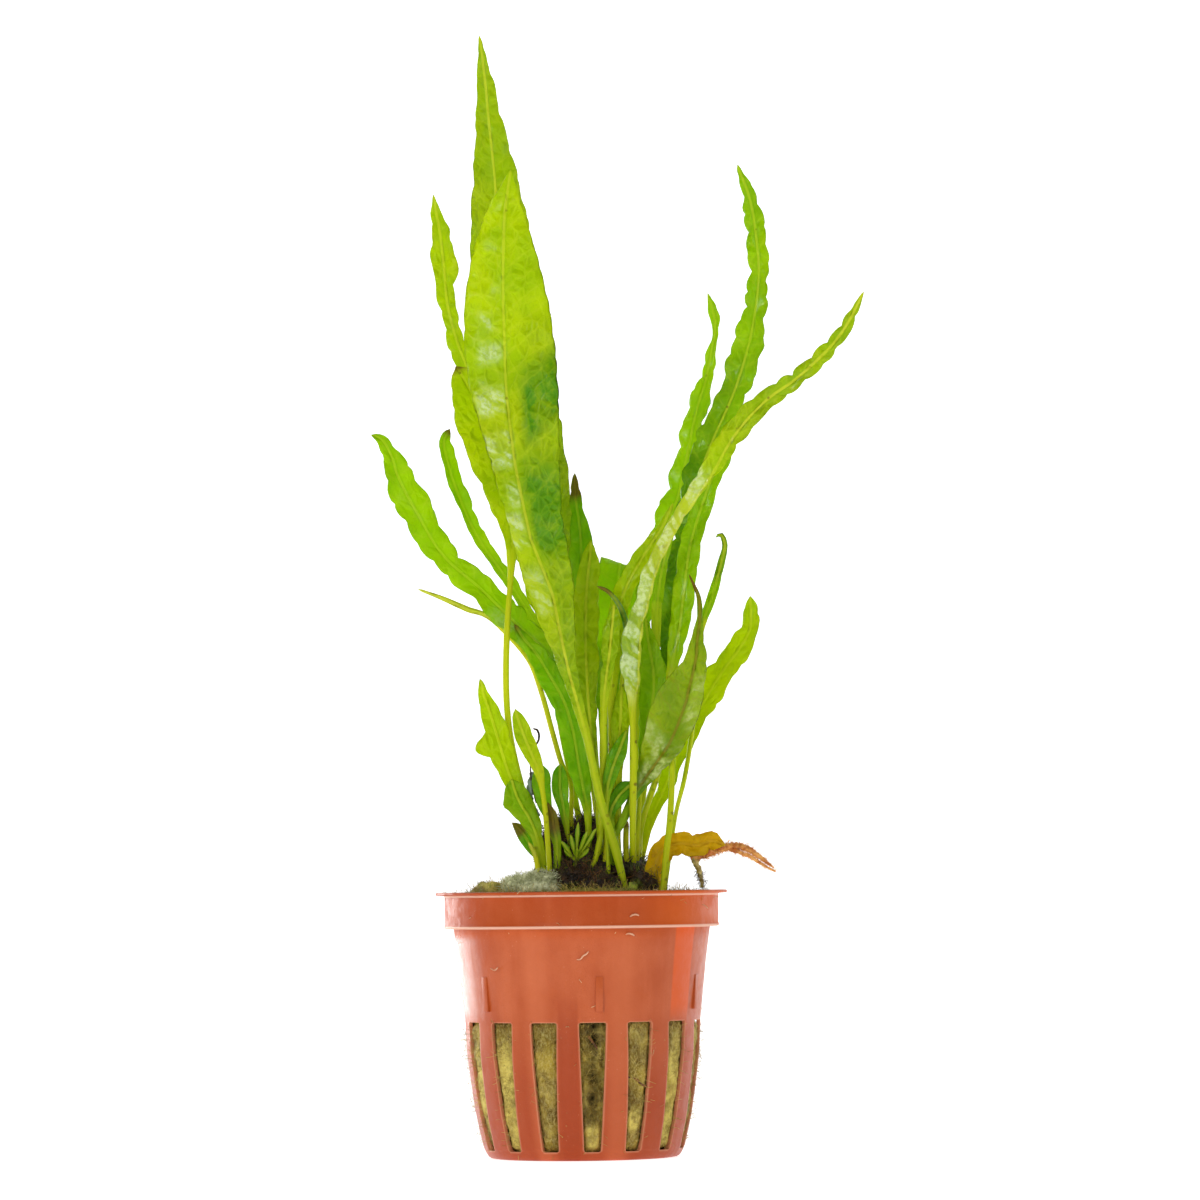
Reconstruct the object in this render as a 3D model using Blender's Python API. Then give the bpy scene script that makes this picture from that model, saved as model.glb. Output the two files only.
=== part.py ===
"""A potted java fern: a slotted net pot filled with rock wool, and on it the fern's rhizome,
its leaves, a young plantlet and the roots that hang over the rim.

Lengths here are in millimetres, and mesh_object turns them into metres. +X is to the right,
+Y to the back and +Z up. The origin is the centre of the pot's underside.
"""

from dataclasses import dataclass
from math import cos, pi, radians, sin, tan

import bmesh
import bpy
import numpy as np
from mathutils import Vector, noise
from mathutils.bvhtree import BVHTree

MM = 0.001
GAP = 0.35

# Net pot: radius and height of its outer and inner profile, from the underside up
POT_OUTER = (
    (17.0, 0.0), (18.2, 0.7), (19.0, 2.2), (20.3, 8.0), (21.2, 14.0), (21.9, 19.5),
    (22.2, 26.0), (23.4, 37.5), (24.2, 43.2), (25.8, 43.2), (25.8, 49.4), (27.5, 49.4), (27.5, 50.0),
)
POT_INNER = (
    (16.6, 1.0), (18.2, 2.4), (19.6, 8.0), (21.2, 19.5), (21.5, 26.0), (22.7, 37.5),
    (23.5, 43.6), (25.1, 44.6), (25.1, 50.0),
)
POT_SEGMENTS = 48
SLOT_COUNT = 15
SLOT_FIRST = 4.9
SLOT_BOTTOM = 1.7
SLOT_TOP = 25.7
SLOT_ANGLE_TOP = 12.0
SLOT_ANGLE_BOTTOM = 9.0
SLOT_CORNER = 0.6
DRAIN_COUNT = 6
DRAIN_INNER = 7.0
DRAIN_OUTER = 14.5
DRAIN_WIDTH = 3.2
LUG_COUNT = 6
LUG_FIRST = 8.0
LUG_WIDTH = 1.4
LUG_BOTTOM = 27.8
LUG_TOP = 34.2
LUG_PROUD = 0.5

# Rock wool plug: its mean top, and the lumps on it as x, y, spread in x, spread in y and height
PLUG_TOP = 49.2
PLUG_SEGMENTS = 28
PLUG_SIDE_GAP = GAP + 0.05
PLUG_RIM_GAP = GAP + 0.25
PLUG_EDGE_DROP = 1.2
PLUG_LUMPS = (
    (-17.6, -3.0, 2.5, 4.5, 2.6),
    (-11.6, 0.5, 2.2, 6.0, 3.2),
    (18.0, 6.0, 3.0, 6.0, 0.6),
    (2.0, -16.0, 6.0, 3.5, 1.2),
    (3.0, 15.5, 7.0, 4.0, 2.2),
)

# Rhizome: a lumpy body lying along X
RHIZOME_CENTRE = (2.6, -0.5, 53.5)
RHIZOME_HALF = (11.4, 7.2, 3.3)
RHIZOME_LUMP = 0.3

# Leaves: half thickness of a blade and of a stalk, the width up to which a leaf is all stalk and
# the width from which it is all blade, how far the margin swings, and the distance between two
# cross-sections
BLADE_HALF = 0.3
STALK_HALF = 0.62
STALK_WIDTH = 1.4
BLADE_WIDTH = 3.2
LEAST_WIDTH = 0.35
MARGIN_WAVE = 0.05
STATION = 5.6
ROOT_WIDTH = 0.8
FOOT_LIFT = 0.35

COLOURS = {
    "pot": ((0.56, 0.13, 0.07), 0.3),
    "rock_wool": ((0.36, 0.34, 0.12), 0.95),
    "rhizome": ((0.035, 0.025, 0.012), 0.8),
    "bright": ((0.36, 0.60, 0.005), 0.4),
    "green": ((0.20, 0.46, 0.005), 0.4),
    "dark": ((0.06, 0.24, 0.004), 0.4),
    "olive": ((0.24, 0.36, 0.03), 0.35),
    "stalk": ((0.45, 0.50, 0.05), 0.5),
    "decayed": ((0.46, 0.30, 0.02), 0.6),
    "root": ((0.42, 0.12, 0.01), 0.6),
}


@dataclass(frozen=True)
class Leaf:
    """One leaf or stalk. root is where it stands, as x and y.

    spine runs from there to the tip, as x, y, z and the width seen from the front.
    turn is how far its face looks towards +X, and fold how far each half rises from the
    midrib, both in degrees.
    """

    name: str
    colour: str
    root: tuple
    spine: tuple
    turn: float = 0.0
    fold: float = 8.0


LEAVES = (
    Leaf("leaf_front_broad", "bright", (8.6, -9.0), (
        (6.8, -9.6, 56.5, 1.6), (3.9, -10.8, 66.5, 1.7), (1.4, -11.8, 78.8, 1.7),
        (-2.1, -13.0, 92.4, 3.8), (-5.1, -14.0, 106.7, 8.9), (-7.8, -15.0, 119.6, 10.3),
        (-9.8, -16.0, 132.6, 13.6), (-11.7, -16.6, 146.3, 16.8), (-12.8, -17.0, 160.5, 15.6),
        (-12.8, -17.0, 175.0, 8.6), (-11.5, -16.4, 184.9, 0.4),
    ), turn=-8, fold=-8),
    Leaf("leaf_back_tall", "bright", (4.2, 5.2), (
        (1.9, 7.0, 75.2, 1.6), (-0.4, 8.0, 88.0, 3.0), (-2.6, 9.0, 102.0, 7.5),
        (-7.0, 11.0, 125.1, 11.3), (-10.7, 12.5, 144.3, 13.2), (-13.0, 13.5, 163.6, 13.6),
        (-14.5, 14.2, 177.0, 11.4), (-15.3, 14.7, 188.7, 8.2), (-16.1, 15.0, 197.4, 5.3),
        (-16.8, 15.0, 206.0, 3.2), (-17.7, 15.0, 214.6, 0.3),
    ), turn=24, fold=10),
    Leaf("leaf_left_tall", "green", (2.4, 3.2), (
        (0.6, 3.4, 70.0, 1.5), (-2.7, 4.2, 86.5, 2.4), (-8.9, 4.6, 113.0, 6.0),
        (-14.5, 4.4, 134.0, 6.8), (-19.3, 4.8, 146.4, 5.4), (-22.3, 5.0, 154.1, 3.6),
        (-24.2, 5.2, 161.6, 3.1), (-24.8, 5.2, 168.5, 4.6), (-25.4, 5.0, 174.5, 3.9),
        (-26.1, 4.6, 179.0, 2.2), (-26.6, 4.2, 182.8, 0.3),
    ), turn=24, fold=14),
    Leaf("leaf_left_wide", "green", (-6.6, -2.4), (
        (-10.9, -3.9, 69.5, 1.2), (-12.9, -4.8, 78.7, 1.2), (-13.6, -5.6, 86.5, 1.2),
        (-13.4, -6.3, 98.1, 1.2), (-12.4, -7.1, 111.2, 1.5), (-12.3, -7.8, 118.5, 4.6),
        (-13.2, -8.2, 125.5, 9.0), (-14.6, -8.6, 132.5, 12.0), (-16.8, -8.6, 138.4, 12.0),
        (-19.8, -8.0, 144.2, 8.0), (-22.4, -7.0, 149.0, 1.6),
    ), turn=16, fold=12),
    Leaf("leaf_left_curled", "green", (1.2, 1.3), (
        (-1.0, 1.7, 67.6, 1.1), (-3.1, 1.5, 78.9, 1.1), (-6.3, 1.1, 95.9, 1.3), (-9.0, 0.9, 101.6, 2.0),
        (-13.6, 0.8, 109.2, 2.4), (-18.6, 0.0, 116.4, 2.4), (-22.5, -0.6, 125.0, 2.8),
        (-24.6, -1.0, 131.8, 2.9), (-25.1, -1.2, 135.4, 2.2), (-23.8, -1.2, 137.6, 1.4),
    ), turn=35, fold=30),
    Leaf("leaf_left_long", "green", (4.6, -0.8), (
        (3.1, -1.1, 67.6, 1.4), (-0.8, -1.8, 82.7, 2.2), (-6.0, -2.5, 94.6, 5.0),
        (-11.6, -3.0, 100.2, 5.8), (-18.4, -4.0, 107.0, 5.0), (-25.4, -5.0, 113.4, 5.0),
        (-30.4, -6.0, 121.8, 6.6), (-33.6, -6.8, 128.1, 6.0), (-34.9, -7.2, 132.3, 3.4),
        (-36.5, -7.4, 135.1, 2.4), (-38.5, -7.4, 136.2, 1.2),
    ), turn=24, fold=10),
    Leaf("leaf_left_inner", "dark", (1.5, -4.2), (
        (1.4, -4.5, 64.7, 1.6), (0.7, -4.8, 68.5, 3.0), (-0.3, -5.2, 74.2, 4.6),
        (-1.2, -5.6, 79.9, 5.2), (-2.8, -5.9, 85.5, 5.0), (-5.2, -6.0, 90.0, 4.8),
        (-8.0, -5.8, 94.7, 3.6), (-10.4, -5.2, 97.7, 2.4), (-12.0, -4.7, 100.4, 0.4),
    ), turn=8, fold=8),
    Leaf("leaf_thin_pale", "stalk", (-1.2, -1.9), (
        (-1.8, -2.2, 63.4, 1.0), (-1.7, -2.5, 70.0, 1.0), (-3.4, -2.6, 74.0, 1.0),
        (-5.0, -2.4, 79.7, 1.0), (-7.1, -1.6, 87.6, 1.0), (-9.2, -0.6, 93.3, 0.9),
        (-12.9, 0.0, 98.1, 0.9), (-17.3, -0.4, 102.2, 1.0), (-20.8, -1.0, 103.4, 1.1),
        (-25.3, -1.8, 105.4, 0.9), (-30.2, -2.4, 107.3, 0.4),
    ), turn=0, fold=0),
    Leaf("leaf_brown_tipped", "dark", (4.4, 2.7), (
        (2.4, 3.5, 82.7, 1.6), (1.2, 4.0, 97.0, 4.2), (0.9, 4.4, 110.0, 5.4),
        (0.8, 4.6, 116.6, 4.4), (0.4, 4.8, 121.0, 2.8), (-0.2, 5.0, 125.0, 2.4),
        (-0.3, 5.0, 129.4, 0.4),
    ), turn=-24, fold=12),
    Leaf("leaf_centre_upright", "green", (3.9, -3.1), (
        (2.9, -3.0, 71.3, 1.3), (1.9, -2.9, 82.7, 2.8), (1.4, -2.8, 92.9, 4.6), (1.4, -2.8, 102.2, 5.0),
        (1.8, -3.0, 108.8, 4.6), (2.3, -3.2, 112.9, 3.2), (2.6, -3.4, 116.1, 0.3),
    ), turn=18, fold=12),
    Leaf("leaf_centre_front", "bright", (2.1, -6.7), (
        (3.1, -7.0, 57.2, 1.1), (3.8, -7.3, 60.9, 1.2), (4.2, -7.8, 70.2, 1.2),
        (4.4, -8.1, 75.5, 1.3), (4.7, -8.6, 84.6, 1.5), (5.3, -8.8, 90.2, 2.4),
        (6.0, -9.1, 95.0, 3.2), (6.5, -9.3, 99.7, 3.2), (6.9, -9.4, 103.7, 0.8),
    ), turn=-18, fold=10),
    Leaf("leaf_hooked_dark", "dark", (6.8, -2.4), (
        (7.4, -3.0, 70.0, 1.1), (8.0, -4.6, 86.5, 1.1), (9.1, -6.2, 96.6, 1.2), (8.8, -6.7, 101.0, 1.2),
        (7.4, -6.8, 104.2, 1.0), (5.7, -6.8, 106.2, 0.8), (3.6, -6.8, 107.2, 0.6),
    ), turn=0, fold=10),
    Leaf("leaf_slanting", "bright", (5.5, -4.5), (
        (6.0, -4.5, 76.0, 1.3), (6.2, -4.4, 86.5, 1.7), (7.1, -4.2, 95.9, 3.0), (7.6, -4.2, 101.6, 3.7),
        (9.1, -4.5, 106.7, 3.9), (11.8, -5.1, 111.6, 3.7), (14.0, -5.7, 115.0, 2.8),
        (16.3, -6.4, 118.5, 2.0), (18.2, -7.0, 122.7, 0.4),
    ), turn=-18, fold=10),
    Leaf("leaf_right_long", "bright", (9.9, -4.2), (
        (9.8, -6.2, 58.4, 1.2), (9.9, -7.7, 66.0, 1.3), (10.1, -7.8, 75.6, 1.4),
        (10.1, -7.8, 81.4, 1.3), (10.0, -7.9, 86.1, 1.9), (10.0, -8.0, 89.5, 3.2),
        (9.9, -8.5, 93.2, 3.9), (10.1, -9.0, 97.0, 3.7), (11.2, -9.4, 100.7, 3.2),
        (12.4, -10.0, 104.8, 2.7), (13.3, -10.8, 108.5, 2.8), (14.9, -11.4, 112.2, 2.4),
        (16.8, -12.0, 115.8, 2.3), (18.9, -12.6, 119.5, 2.3), (21.4, -13.4, 123.2, 2.5),
        (24.2, -14.2, 127.2, 3.2), (27.2, -15.0, 131.6, 4.2), (30.8, -15.8, 136.4, 4.5),
        (36.2, -17.2, 141.4, 3.8), (41.0, -18.2, 144.6, 3.4), (45.1, -19.2, 148.1, 3.2),
        (48.6, -20.0, 151.6, 2.8), (51.4, -20.7, 155.7, 2.2), (54.0, -21.4, 160.8, 0.3),
    ), turn=-16, fold=14),
    Leaf("leaf_right_tall", "green", (15.2, -9.3), (
        (16.1, -8.9, 57.5, 1.2), (16.7, -8.6, 62.1, 1.2), (17.4, -4.7, 74.2, 1.2),
        (17.1, -2.7, 88.0, 2.2), (17.5, -0.7, 97.8, 4.6), (18.6, 0.9, 106.8, 5.6),
        (20.9, 1.5, 117.0, 5.4), (23.4, 2.8, 128.0, 6.2), (26.3, 4.0, 135.6, 6.6),
        (30.0, 4.8, 143.7, 5.6), (32.7, 5.2, 151.6, 6.4), (34.3, 5.6, 158.6, 4.9),
        (35.3, 5.8, 166.8, 4.0), (34.9, 6.0, 174.0, 4.0), (33.8, 6.0, 181.2, 3.1),
        (31.4, 6.0, 188.0, 0.5),
    ), turn=-22, fold=12),
    Leaf("leaf_right_narrow", "green", (9.4, 3.6), (
        (10.6, 5.5, 67.7, 1.3), (11.5, 7.0, 86.7, 1.5), (13.4, 9.0, 105.8, 4.0),
        (16.4, 10.2, 117.5, 4.8), (19.3, 11.0, 124.5, 5.4), (20.8, 11.6, 130.6, 4.8),
        (22.5, 12.2, 138.4, 4.4), (23.7, 12.6, 143.0, 4.2), (25.0, 13.0, 147.0, 3.0),
        (26.1, 13.4, 152.4, 1.9), (27.0, 13.8, 157.0, 1.3), (26.7, 14.0, 160.6, 2.0),
        (25.5, 14.0, 164.3, 0.3),
    ), turn=-28, fold=12),
    Leaf("leaf_right_rounded", "green", (10.2, -0.6), (
        (11.8, -1.4, 63.6, 1.2), (14.4, -3.2, 71.2, 1.2), (16.4, -5.8, 79.9, 1.2),
        (17.0, -6.5, 88.4, 1.4), (17.9, -6.4, 93.4, 2.6), (18.9, -6.2, 97.8, 3.8),
        (20.0, -5.6, 105.4, 4.4), (21.2, -4.9, 113.8, 4.2), (23.2, -4.3, 120.8, 4.0),
        (26.0, -3.8, 128.2, 3.8), (28.2, -3.5, 132.2, 3.0), (28.9, -3.3, 134.4, 1.4),
    ), turn=-14, fold=10),
    Leaf("leaf_right_edge_on", "green", (10.9, 1.1), (
        (11.4, 1.4, 63.6, 1.1), (12.9, 1.0, 75.1, 1.1), (14.4, -1.2, 88.4, 1.3),
        (14.6, -2.9, 97.0, 1.7),
        (15.1, -3.5, 106.1, 2.2), (16.4, -3.8, 112.7, 1.8), (19.0, -4.2, 121.0, 0.3),
    ), turn=30, fold=10),
    Leaf("leaf_right_shaded", "green", (10.4, -2.4), (
        (11.6, -3.2, 71.3, 1.3), (13.1, -4.0, 80.5, 4.0), (14.1, -4.4, 87.7, 5.4),
        (14.0, -4.5, 92.0, 4.9), (13.3, -4.6, 96.4, 3.4), (12.7, -4.8, 101.4, 0.5),
    ), turn=-8, fold=8),
    Leaf("leaf_right_low", "bright", (11.0, 3.1), (
        (12.9, 3.6, 62.3, 1.8), (15.3, 4.0, 67.6, 2.8), (17.4, 4.6, 72.3, 3.5), (20.8, 5.7, 79.9, 4.2),
        (23.8, 6.5, 85.6, 5.4), (27.1, 7.2, 90.8, 5.4), (30.4, 7.9, 95.2, 4.9), (32.7, 8.5, 99.1, 4.0),
        (33.0, 8.9, 102.8, 3.0), (32.8, 9.1, 105.8, 0.8),
    ), turn=-28, fold=10),
    Leaf("leaf_right_hooked", "green", (15.4, 0.6), (
        (18.1, 0.8, 64.7, 0.8), (19.7, 1.0, 70.8, 0.9), (21.1, 1.4, 78.7, 0.9), (22.2, 1.9, 88.4, 1.0),
        (23.1, 2.4, 98.9, 1.4), (25.4, 2.7, 105.4, 1.8), (27.3, 3.0, 112.0, 1.4),
        (28.0, 3.0, 115.4, 1.1), (27.2, 3.0, 117.2, 0.9), (26.2, 3.0, 116.6, 0.6),
    ), turn=0, fold=16),
    Leaf("leaf_olive_front", "olive", (5.9, -6.3), (
        (6.4, -7.0, 60.2, 1.4), (7.8, -7.1, 62.8, 1.6), (9.1, -6.3, 65.5, 1.7), (10.2, -5.0, 68.0, 2.0),
        (12.1, -5.0, 71.2, 3.4), (14.2, -7.0, 74.9, 6.2), (15.6, -8.6, 77.7, 7.6),
        (17.2, -9.8, 81.6, 9.0), (19.1, -10.8, 86.4, 8.6), (20.8, -11.4, 89.8, 6.2),
        (21.9, -12.0, 92.8, 4.6), (22.3, -12.6, 97.0, 2.5), (22.8, -12.8, 100.6, 1.3),
        (22.6, -12.8, 104.6, 0.9), (20.9, -12.2, 109.0, 0.3),
    ), turn=10, fold=5),
    Leaf("leaf_bent_back", "green", (4.9, 7.2), (
        (6.0, 10.0, 78.9, 4.4), (6.4, 12.0, 90.2, 7.6), (7.0, 13.5, 101.6, 8.6),
        (7.6, 15.0, 108.4, 8.2), (8.0, 17.6, 112.4, 7.6), (8.2, 21.0, 112.0, 7.0),
        (8.4, 23.6, 107.0, 5.0), (8.5, 24.6, 101.0, 0.6),
    ), turn=14, fold=6),
    Leaf("leaf_lobed_low", "bright", (-7.6, -4.9), (
        (-8.6, -5.1, 61.9, 1.6), (-11.1, -5.9, 67.6, 2.8), (-13.2, -6.4, 71.8, 3.8),
        (-15.2, -7.0, 78.3, 5.0), (-16.7, -7.5, 83.5, 3.7), (-17.8, -7.9, 86.8, 2.4),
        (-18.5, -8.1, 90.1, 0.5),
    ), turn=20, fold=8),
    Leaf("leaf_stub_low", "green", (-6.0, -6.6), (
        (-8.2, -7.2, 60.2, 2.4), (-9.6, -7.8, 63.8, 4.0), (-11.3, -8.2, 66.7, 5.0),
        (-12.3, -8.7, 69.1, 4.3), (-12.8, -8.8, 71.2, 2.0),
    ), turn=14, fold=6),
    Leaf("leaf_spoon_low", "bright", (-5.6, -8.4), (
        (-6.3, -9.2, 61.9, 1.0), (-6.6, -9.6, 65.7, 1.0), (-7.1, -10.0, 69.5, 1.1),
        (-7.8, -10.4, 73.2, 2.3), (-9.4, -10.8, 77.1, 3.3), (-10.8, -11.2, 80.8, 3.3),
        (-11.9, -11.5, 84.2, 1.2),
    ), turn=-16, fold=10),
    Leaf("leaflet_left", "dark", (-3.3, -4.8), (
        (-5.1, -5.8, 60.4, 1.2), (-5.9, -6.3, 63.8, 2.1), (-6.8, -6.6, 67.0, 2.9),
        (-7.2, -6.9, 70.2, 3.8), (-7.2, -7.0, 72.1, 3.2), (-7.3, -7.1, 74.0, 1.0),
    ), turn=10),
    Leaf("leaflet_middle", "dark", (-2.5, -4.2), (
        (-2.4, -4.4, 59.4, 0.9), (-2.6, -4.7, 62.3, 1.2), (-3.1, -5.0, 65.7, 2.3),
        (-3.7, -5.3, 69.4, 3.2), (-3.7, -5.5, 71.9, 2.9), (-3.6, -5.6, 74.0, 1.2),
    ), turn=-10),
    Leaf("leaflet_brown_tip", "dark", (-4.9, -7.5), (
        (-4.4, -7.5, 59.1, 1.6), (-5.0, -7.7, 61.9, 2.3), (-5.3, -7.9, 64.3, 1.9),
        (-6.1, -8.0, 66.8, 0.4),
    )),
    Leaf("leaf_fuzzy_grey", "dark", (-7.2, 0.4), (
        (-8.0, 0.5, 56.3, 1.3), (-9.2, 0.6, 58.2, 2.2), (-10.5, 0.8, 60.5, 2.8),
        (-11.8, 1.0, 62.1, 1.8), (-13.0, 1.0, 63.1, 0.5),
    )),
    Leaf("stalk_short_left", "stalk", (-7.4, -7.2), (
        (-8.6, -9.0, 57.0, 0.9), (-9.8, -9.5, 59.4, 0.8),
    )),
    Leaf("stalk_short_right", "stalk", (8.7, -5.0), (
        (8.5, -5.0, 59.0, 1.1), (8.7, -4.8, 63.4, 1.0),
    )),
    Leaf("stalk_short_centre", "stalk", (4.6, -5.9), (
        (4.9, -6.0, 62.0, 1.0), (4.9, -6.0, 67.6, 0.8),
    )),
    Leaf("leaf_inner_bright", "bright", (7.2, -5.2), (
        (6.9, -5.6, 66.0, 1.1), (7.3, -5.8, 75.0, 2.2), (7.8, -5.8, 82.0, 3.6), (8.1, -5.8, 88.4, 1.0),
    )),
    Leaf("leaf_inner_dark", "dark", (5.2, -8.3), (
        (5.1, -8.5, 56.0, 0.8), (4.9, -8.9, 62.0, 0.8), (4.9, -9.2, 66.0, 1.0), (5.2, -9.0, 69.4, 2.0),
        (6.2, -8.6, 73.0, 3.0), (7.6, -8.2, 76.6, 3.0), (9.0, -7.2, 80.2, 0.6),
    )),
    Leaf("leaf_inner_low", "dark", (7.4, -7.9), (
        (7.2, -8.1, 57.4, 0.9), (6.2, -8.3, 60.8, 0.9), (5.5, -7.7, 63.2, 1.4), (6.0, -7.5, 65.5, 2.7),
        (7.2, -7.3, 67.6, 3.2), (8.7, -6.7, 69.1, 3.2), (10.3, -6.4, 70.4, 0.8),
    )),
    Leaf("decayed_leaf", "decayed", (14.0, -7.2), (
        (13.9, -7.2, 54.0, 4.0), (15.4, -7.0, 57.4, 4.6), (18.4, -6.8, 58.7, 4.6),
        (21.8, -6.4, 58.3, 4.4), (24.7, -6.0, 59.1, 3.8), (27.3, -5.8, 58.3, 0.8),
    ), turn=6, fold=12),
)

# Young plantlet: where it stands, how far its crown is lifted clear of the rhizome's slope, and its
# leaflets as bearing, rise (both in degrees) and length. TUFT_SHAPE gives a leaflet's share of its
# length and of its width from the crown to its tip.
TUFT_ROOT = (-0.9, -7.0)
TUFT_CORE = 0.8
TUFT_LIFT = 0.7
TUFT_LEAFLET_WIDTH = 1.5
TUFT_LEAFLETS = (
    (213, 50, 5.1), (235, 72, 5.4), (277, 45, 3.6), (313, 60, 6.7),
    (331, 54, 7.8), (205, 42, 3.4), (300, 82, 7.5), (342, 42, 3.6),
)
TUFT_SHAPE = ((0.05, 0.5), (0.35, 0.8), (0.7, 1.0), (1.0, 0.2))
TUFT_STATION = 2.2

# Roots over the rim: x, y, z and width along each of the three branches
ROOTS = (
    ((20.6, -4.6, 56.2, 1.0), (22.4, -4.6, 56.4, 1.2), (24.4, -4.6, 56.9, 1.4),
     (26.8, -4.4, 57.8, 1.4), (29.2, -4.4, 58.1, 1.3), (31.6, -4.2, 57.4, 1.1),
     (33.4, -4.2, 56.2, 0.9), (34.9, -4.2, 55.0, 0.6), (36.3, -4.2, 53.9, 0.3)),
    ((27.4, -4.4, 57.9, 0.8), (29.6, -4.8, 57.0, 0.8), (31.9, -5.0, 56.0, 0.7),
     (34.2, -5.0, 54.5, 0.5), (36.6, -5.0, 53.2, 0.3)),
    ((20.8, -4.6, 56.9, 1.0), (21.7, -4.5, 54.9, 1.1), (22.4, -4.4, 52.8, 0.9),
     (22.8, -4.2, 50.4, 0.6)),
)
ROOT_STATION = 2.6


def clear_scene():
    """Removes whatever the scene already holds."""
    for item in list(bpy.data.objects):
        bpy.data.objects.remove(item, do_unlink=True)


def material(name):
    """The Principled material of that name, made the first time it is asked for."""
    found = bpy.data.materials.get(name)
    if found:
        return found
    colour, roughness = COLOURS[name]
    made = bpy.data.materials.new(name)
    made.use_nodes = True
    shader = made.node_tree.nodes["Principled BSDF"]
    shader.inputs["Base Color"].default_value = (*colour, 1.0)
    shader.inputs["Roughness"].default_value = roughness
    shader.inputs["Metallic"].default_value = 0.0
    return made


def mesh_object(name, finish, points, faces):
    """An object from points in millimetres, with its faces turned outwards."""
    mesh = bpy.data.meshes.new(name)
    mesh.from_pydata([Vector(point) * MM for point in points], [], faces)
    shape = bmesh.new()
    shape.from_mesh(mesh)
    bmesh.ops.recalc_face_normals(shape, faces=shape.faces)
    shape.to_mesh(mesh)
    shape.free()
    mesh.shade_smooth()
    mesh.set_sharp_from_angle(angle=radians(40))
    made = bpy.data.objects.new(name, mesh)
    made.data.materials.append(material(finish))
    bpy.context.scene.collection.objects.link(made)
    return made


def cutter(item):
    """Marks an object that only shapes another one."""
    item.hide_render = True
    item.display_type = "WIRE"
    return item


def combine(item, other, operation):
    """Cuts the other mesh out of the item, or joins it to the item."""
    change = item.modifiers.new(other.name, "BOOLEAN")
    change.operation = operation
    change.object = cutter(other)
    change.solver = "EXACT"
    return change


def ring_faces(rows, columns, closed_rows=False):
    """Quads between rings of points that are stored one ring after another."""
    faces = []
    for row in range(rows if closed_rows else rows - 1):
        lower, upper = row * columns, (row + 1) % rows * columns
        for column in range(columns):
            following = (column + 1) % columns
            faces.append((lower + column, lower + following, upper + following, upper + column))
    return faces


def circle(radius, height, count):
    """Points round the Z axis, the first one at the front."""
    angles = [2 * pi * index / count for index in range(count)]
    return [(radius * sin(angle), -radius * cos(angle), height) for angle in angles]


def prisms(outlines):
    """Points and faces of closed prisms, each given as its near and its far outline."""
    points, faces = [], []
    for near, far in outlines:
        first, count = len(points), len(near)
        points += near + far
        faces += [[index + first for index in face] for face in ring_faces(2, count)]
        faces.append(list(range(first, first + count)))
        faces.append(list(range(first + count, first + 2 * count)))
    return points, faces


def slot_outline(bearing, radius):
    """A slot's tapered outline with clipped corners, on a cylinder of that radius."""
    corners = []
    for height, inset in (
        (SLOT_BOTTOM, SLOT_CORNER), (SLOT_BOTTOM + SLOT_CORNER, 0),
        (SLOT_TOP - SLOT_CORNER, 0), (SLOT_TOP, SLOT_CORNER),
    ):
        share = (height - SLOT_BOTTOM) / (SLOT_TOP - SLOT_BOTTOM)
        angle = SLOT_ANGLE_BOTTOM + share * (SLOT_ANGLE_TOP - SLOT_ANGLE_BOTTOM)
        half = radians(angle / 2) - inset / POT_OUTER[4][0]
        corners.append((height, half))
    outline = corners + [(height, -half) for height, half in reversed(corners)]
    return [
        (radius * sin(bearing + half), -radius * cos(bearing + half), height) for height, half in outline
    ]


def slot_cutter():
    """One cutter with a tapered prism for each slot in the wall."""
    near, far = POT_INNER[0][0] - 1.5, POT_OUTER[-1][0]
    bearings = [radians(SLOT_FIRST + 360 / SLOT_COUNT * index) for index in range(SLOT_COUNT)]
    outlines = [(slot_outline(bearing, near), slot_outline(bearing, far)) for bearing in bearings]
    return mesh_object("slot_cutter", "pot", *prisms(outlines))


def drain_cutter():
    """One cutter with a straight slot in the underside for each drain."""
    outlines = []
    for index in range(DRAIN_COUNT):
        bearing = 2 * pi * (index + 0.5) / DRAIN_COUNT
        out, side = Vector((sin(bearing), -cos(bearing), 0)), Vector((cos(bearing), sin(bearing), 0))
        half = DRAIN_WIDTH / 2
        corners = [
            out * DRAIN_INNER - side * half, out * DRAIN_OUTER - side * half,
            out * DRAIN_OUTER + side * half, out * DRAIN_INNER + side * half,
        ]
        outlines.append(([tuple(c + Vector((0, 0, -1))) for c in corners],
                         [tuple(c + Vector((0, 0, 2))) for c in corners]))
    return mesh_object("drain_cutter", "pot", *prisms(outlines))


def outer_radius(height):
    """The pot wall's outer radius at a height under the collar."""
    wall = POT_OUTER[:9]
    return float(np.interp(height, [z for _, z in wall], [r for r, _ in wall]))


def inner_radius(height):
    """The pot wall's inner radius at a height."""
    return float(np.interp(height, [z for _, z in POT_INNER], [r for r, _ in POT_INNER]))


def lugs():
    """The small wedge ribs round the wall, which keep stacked pots from jamming."""
    outlines = []
    for index in range(LUG_COUNT):
        bearing = radians(LUG_FIRST + 360 / LUG_COUNT * index)
        sides = []
        for side in (-1, 1):
            angle = bearing + side * LUG_WIDTH / 2 / outer_radius(LUG_TOP)
            profile = (
                (outer_radius(LUG_BOTTOM) - 0.3, LUG_BOTTOM),
                (outer_radius(LUG_BOTTOM) + LUG_PROUD, LUG_BOTTOM),
                (outer_radius(LUG_TOP) + 0.1, LUG_TOP),
                (outer_radius(LUG_TOP) - 0.3, LUG_TOP),
            )
            sides.append([(radius * sin(angle), -radius * cos(angle), z) for radius, z in profile])
        outlines.append(tuple(sides))
    return mesh_object("lug_wedges", "pot", *prisms(outlines))


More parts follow.
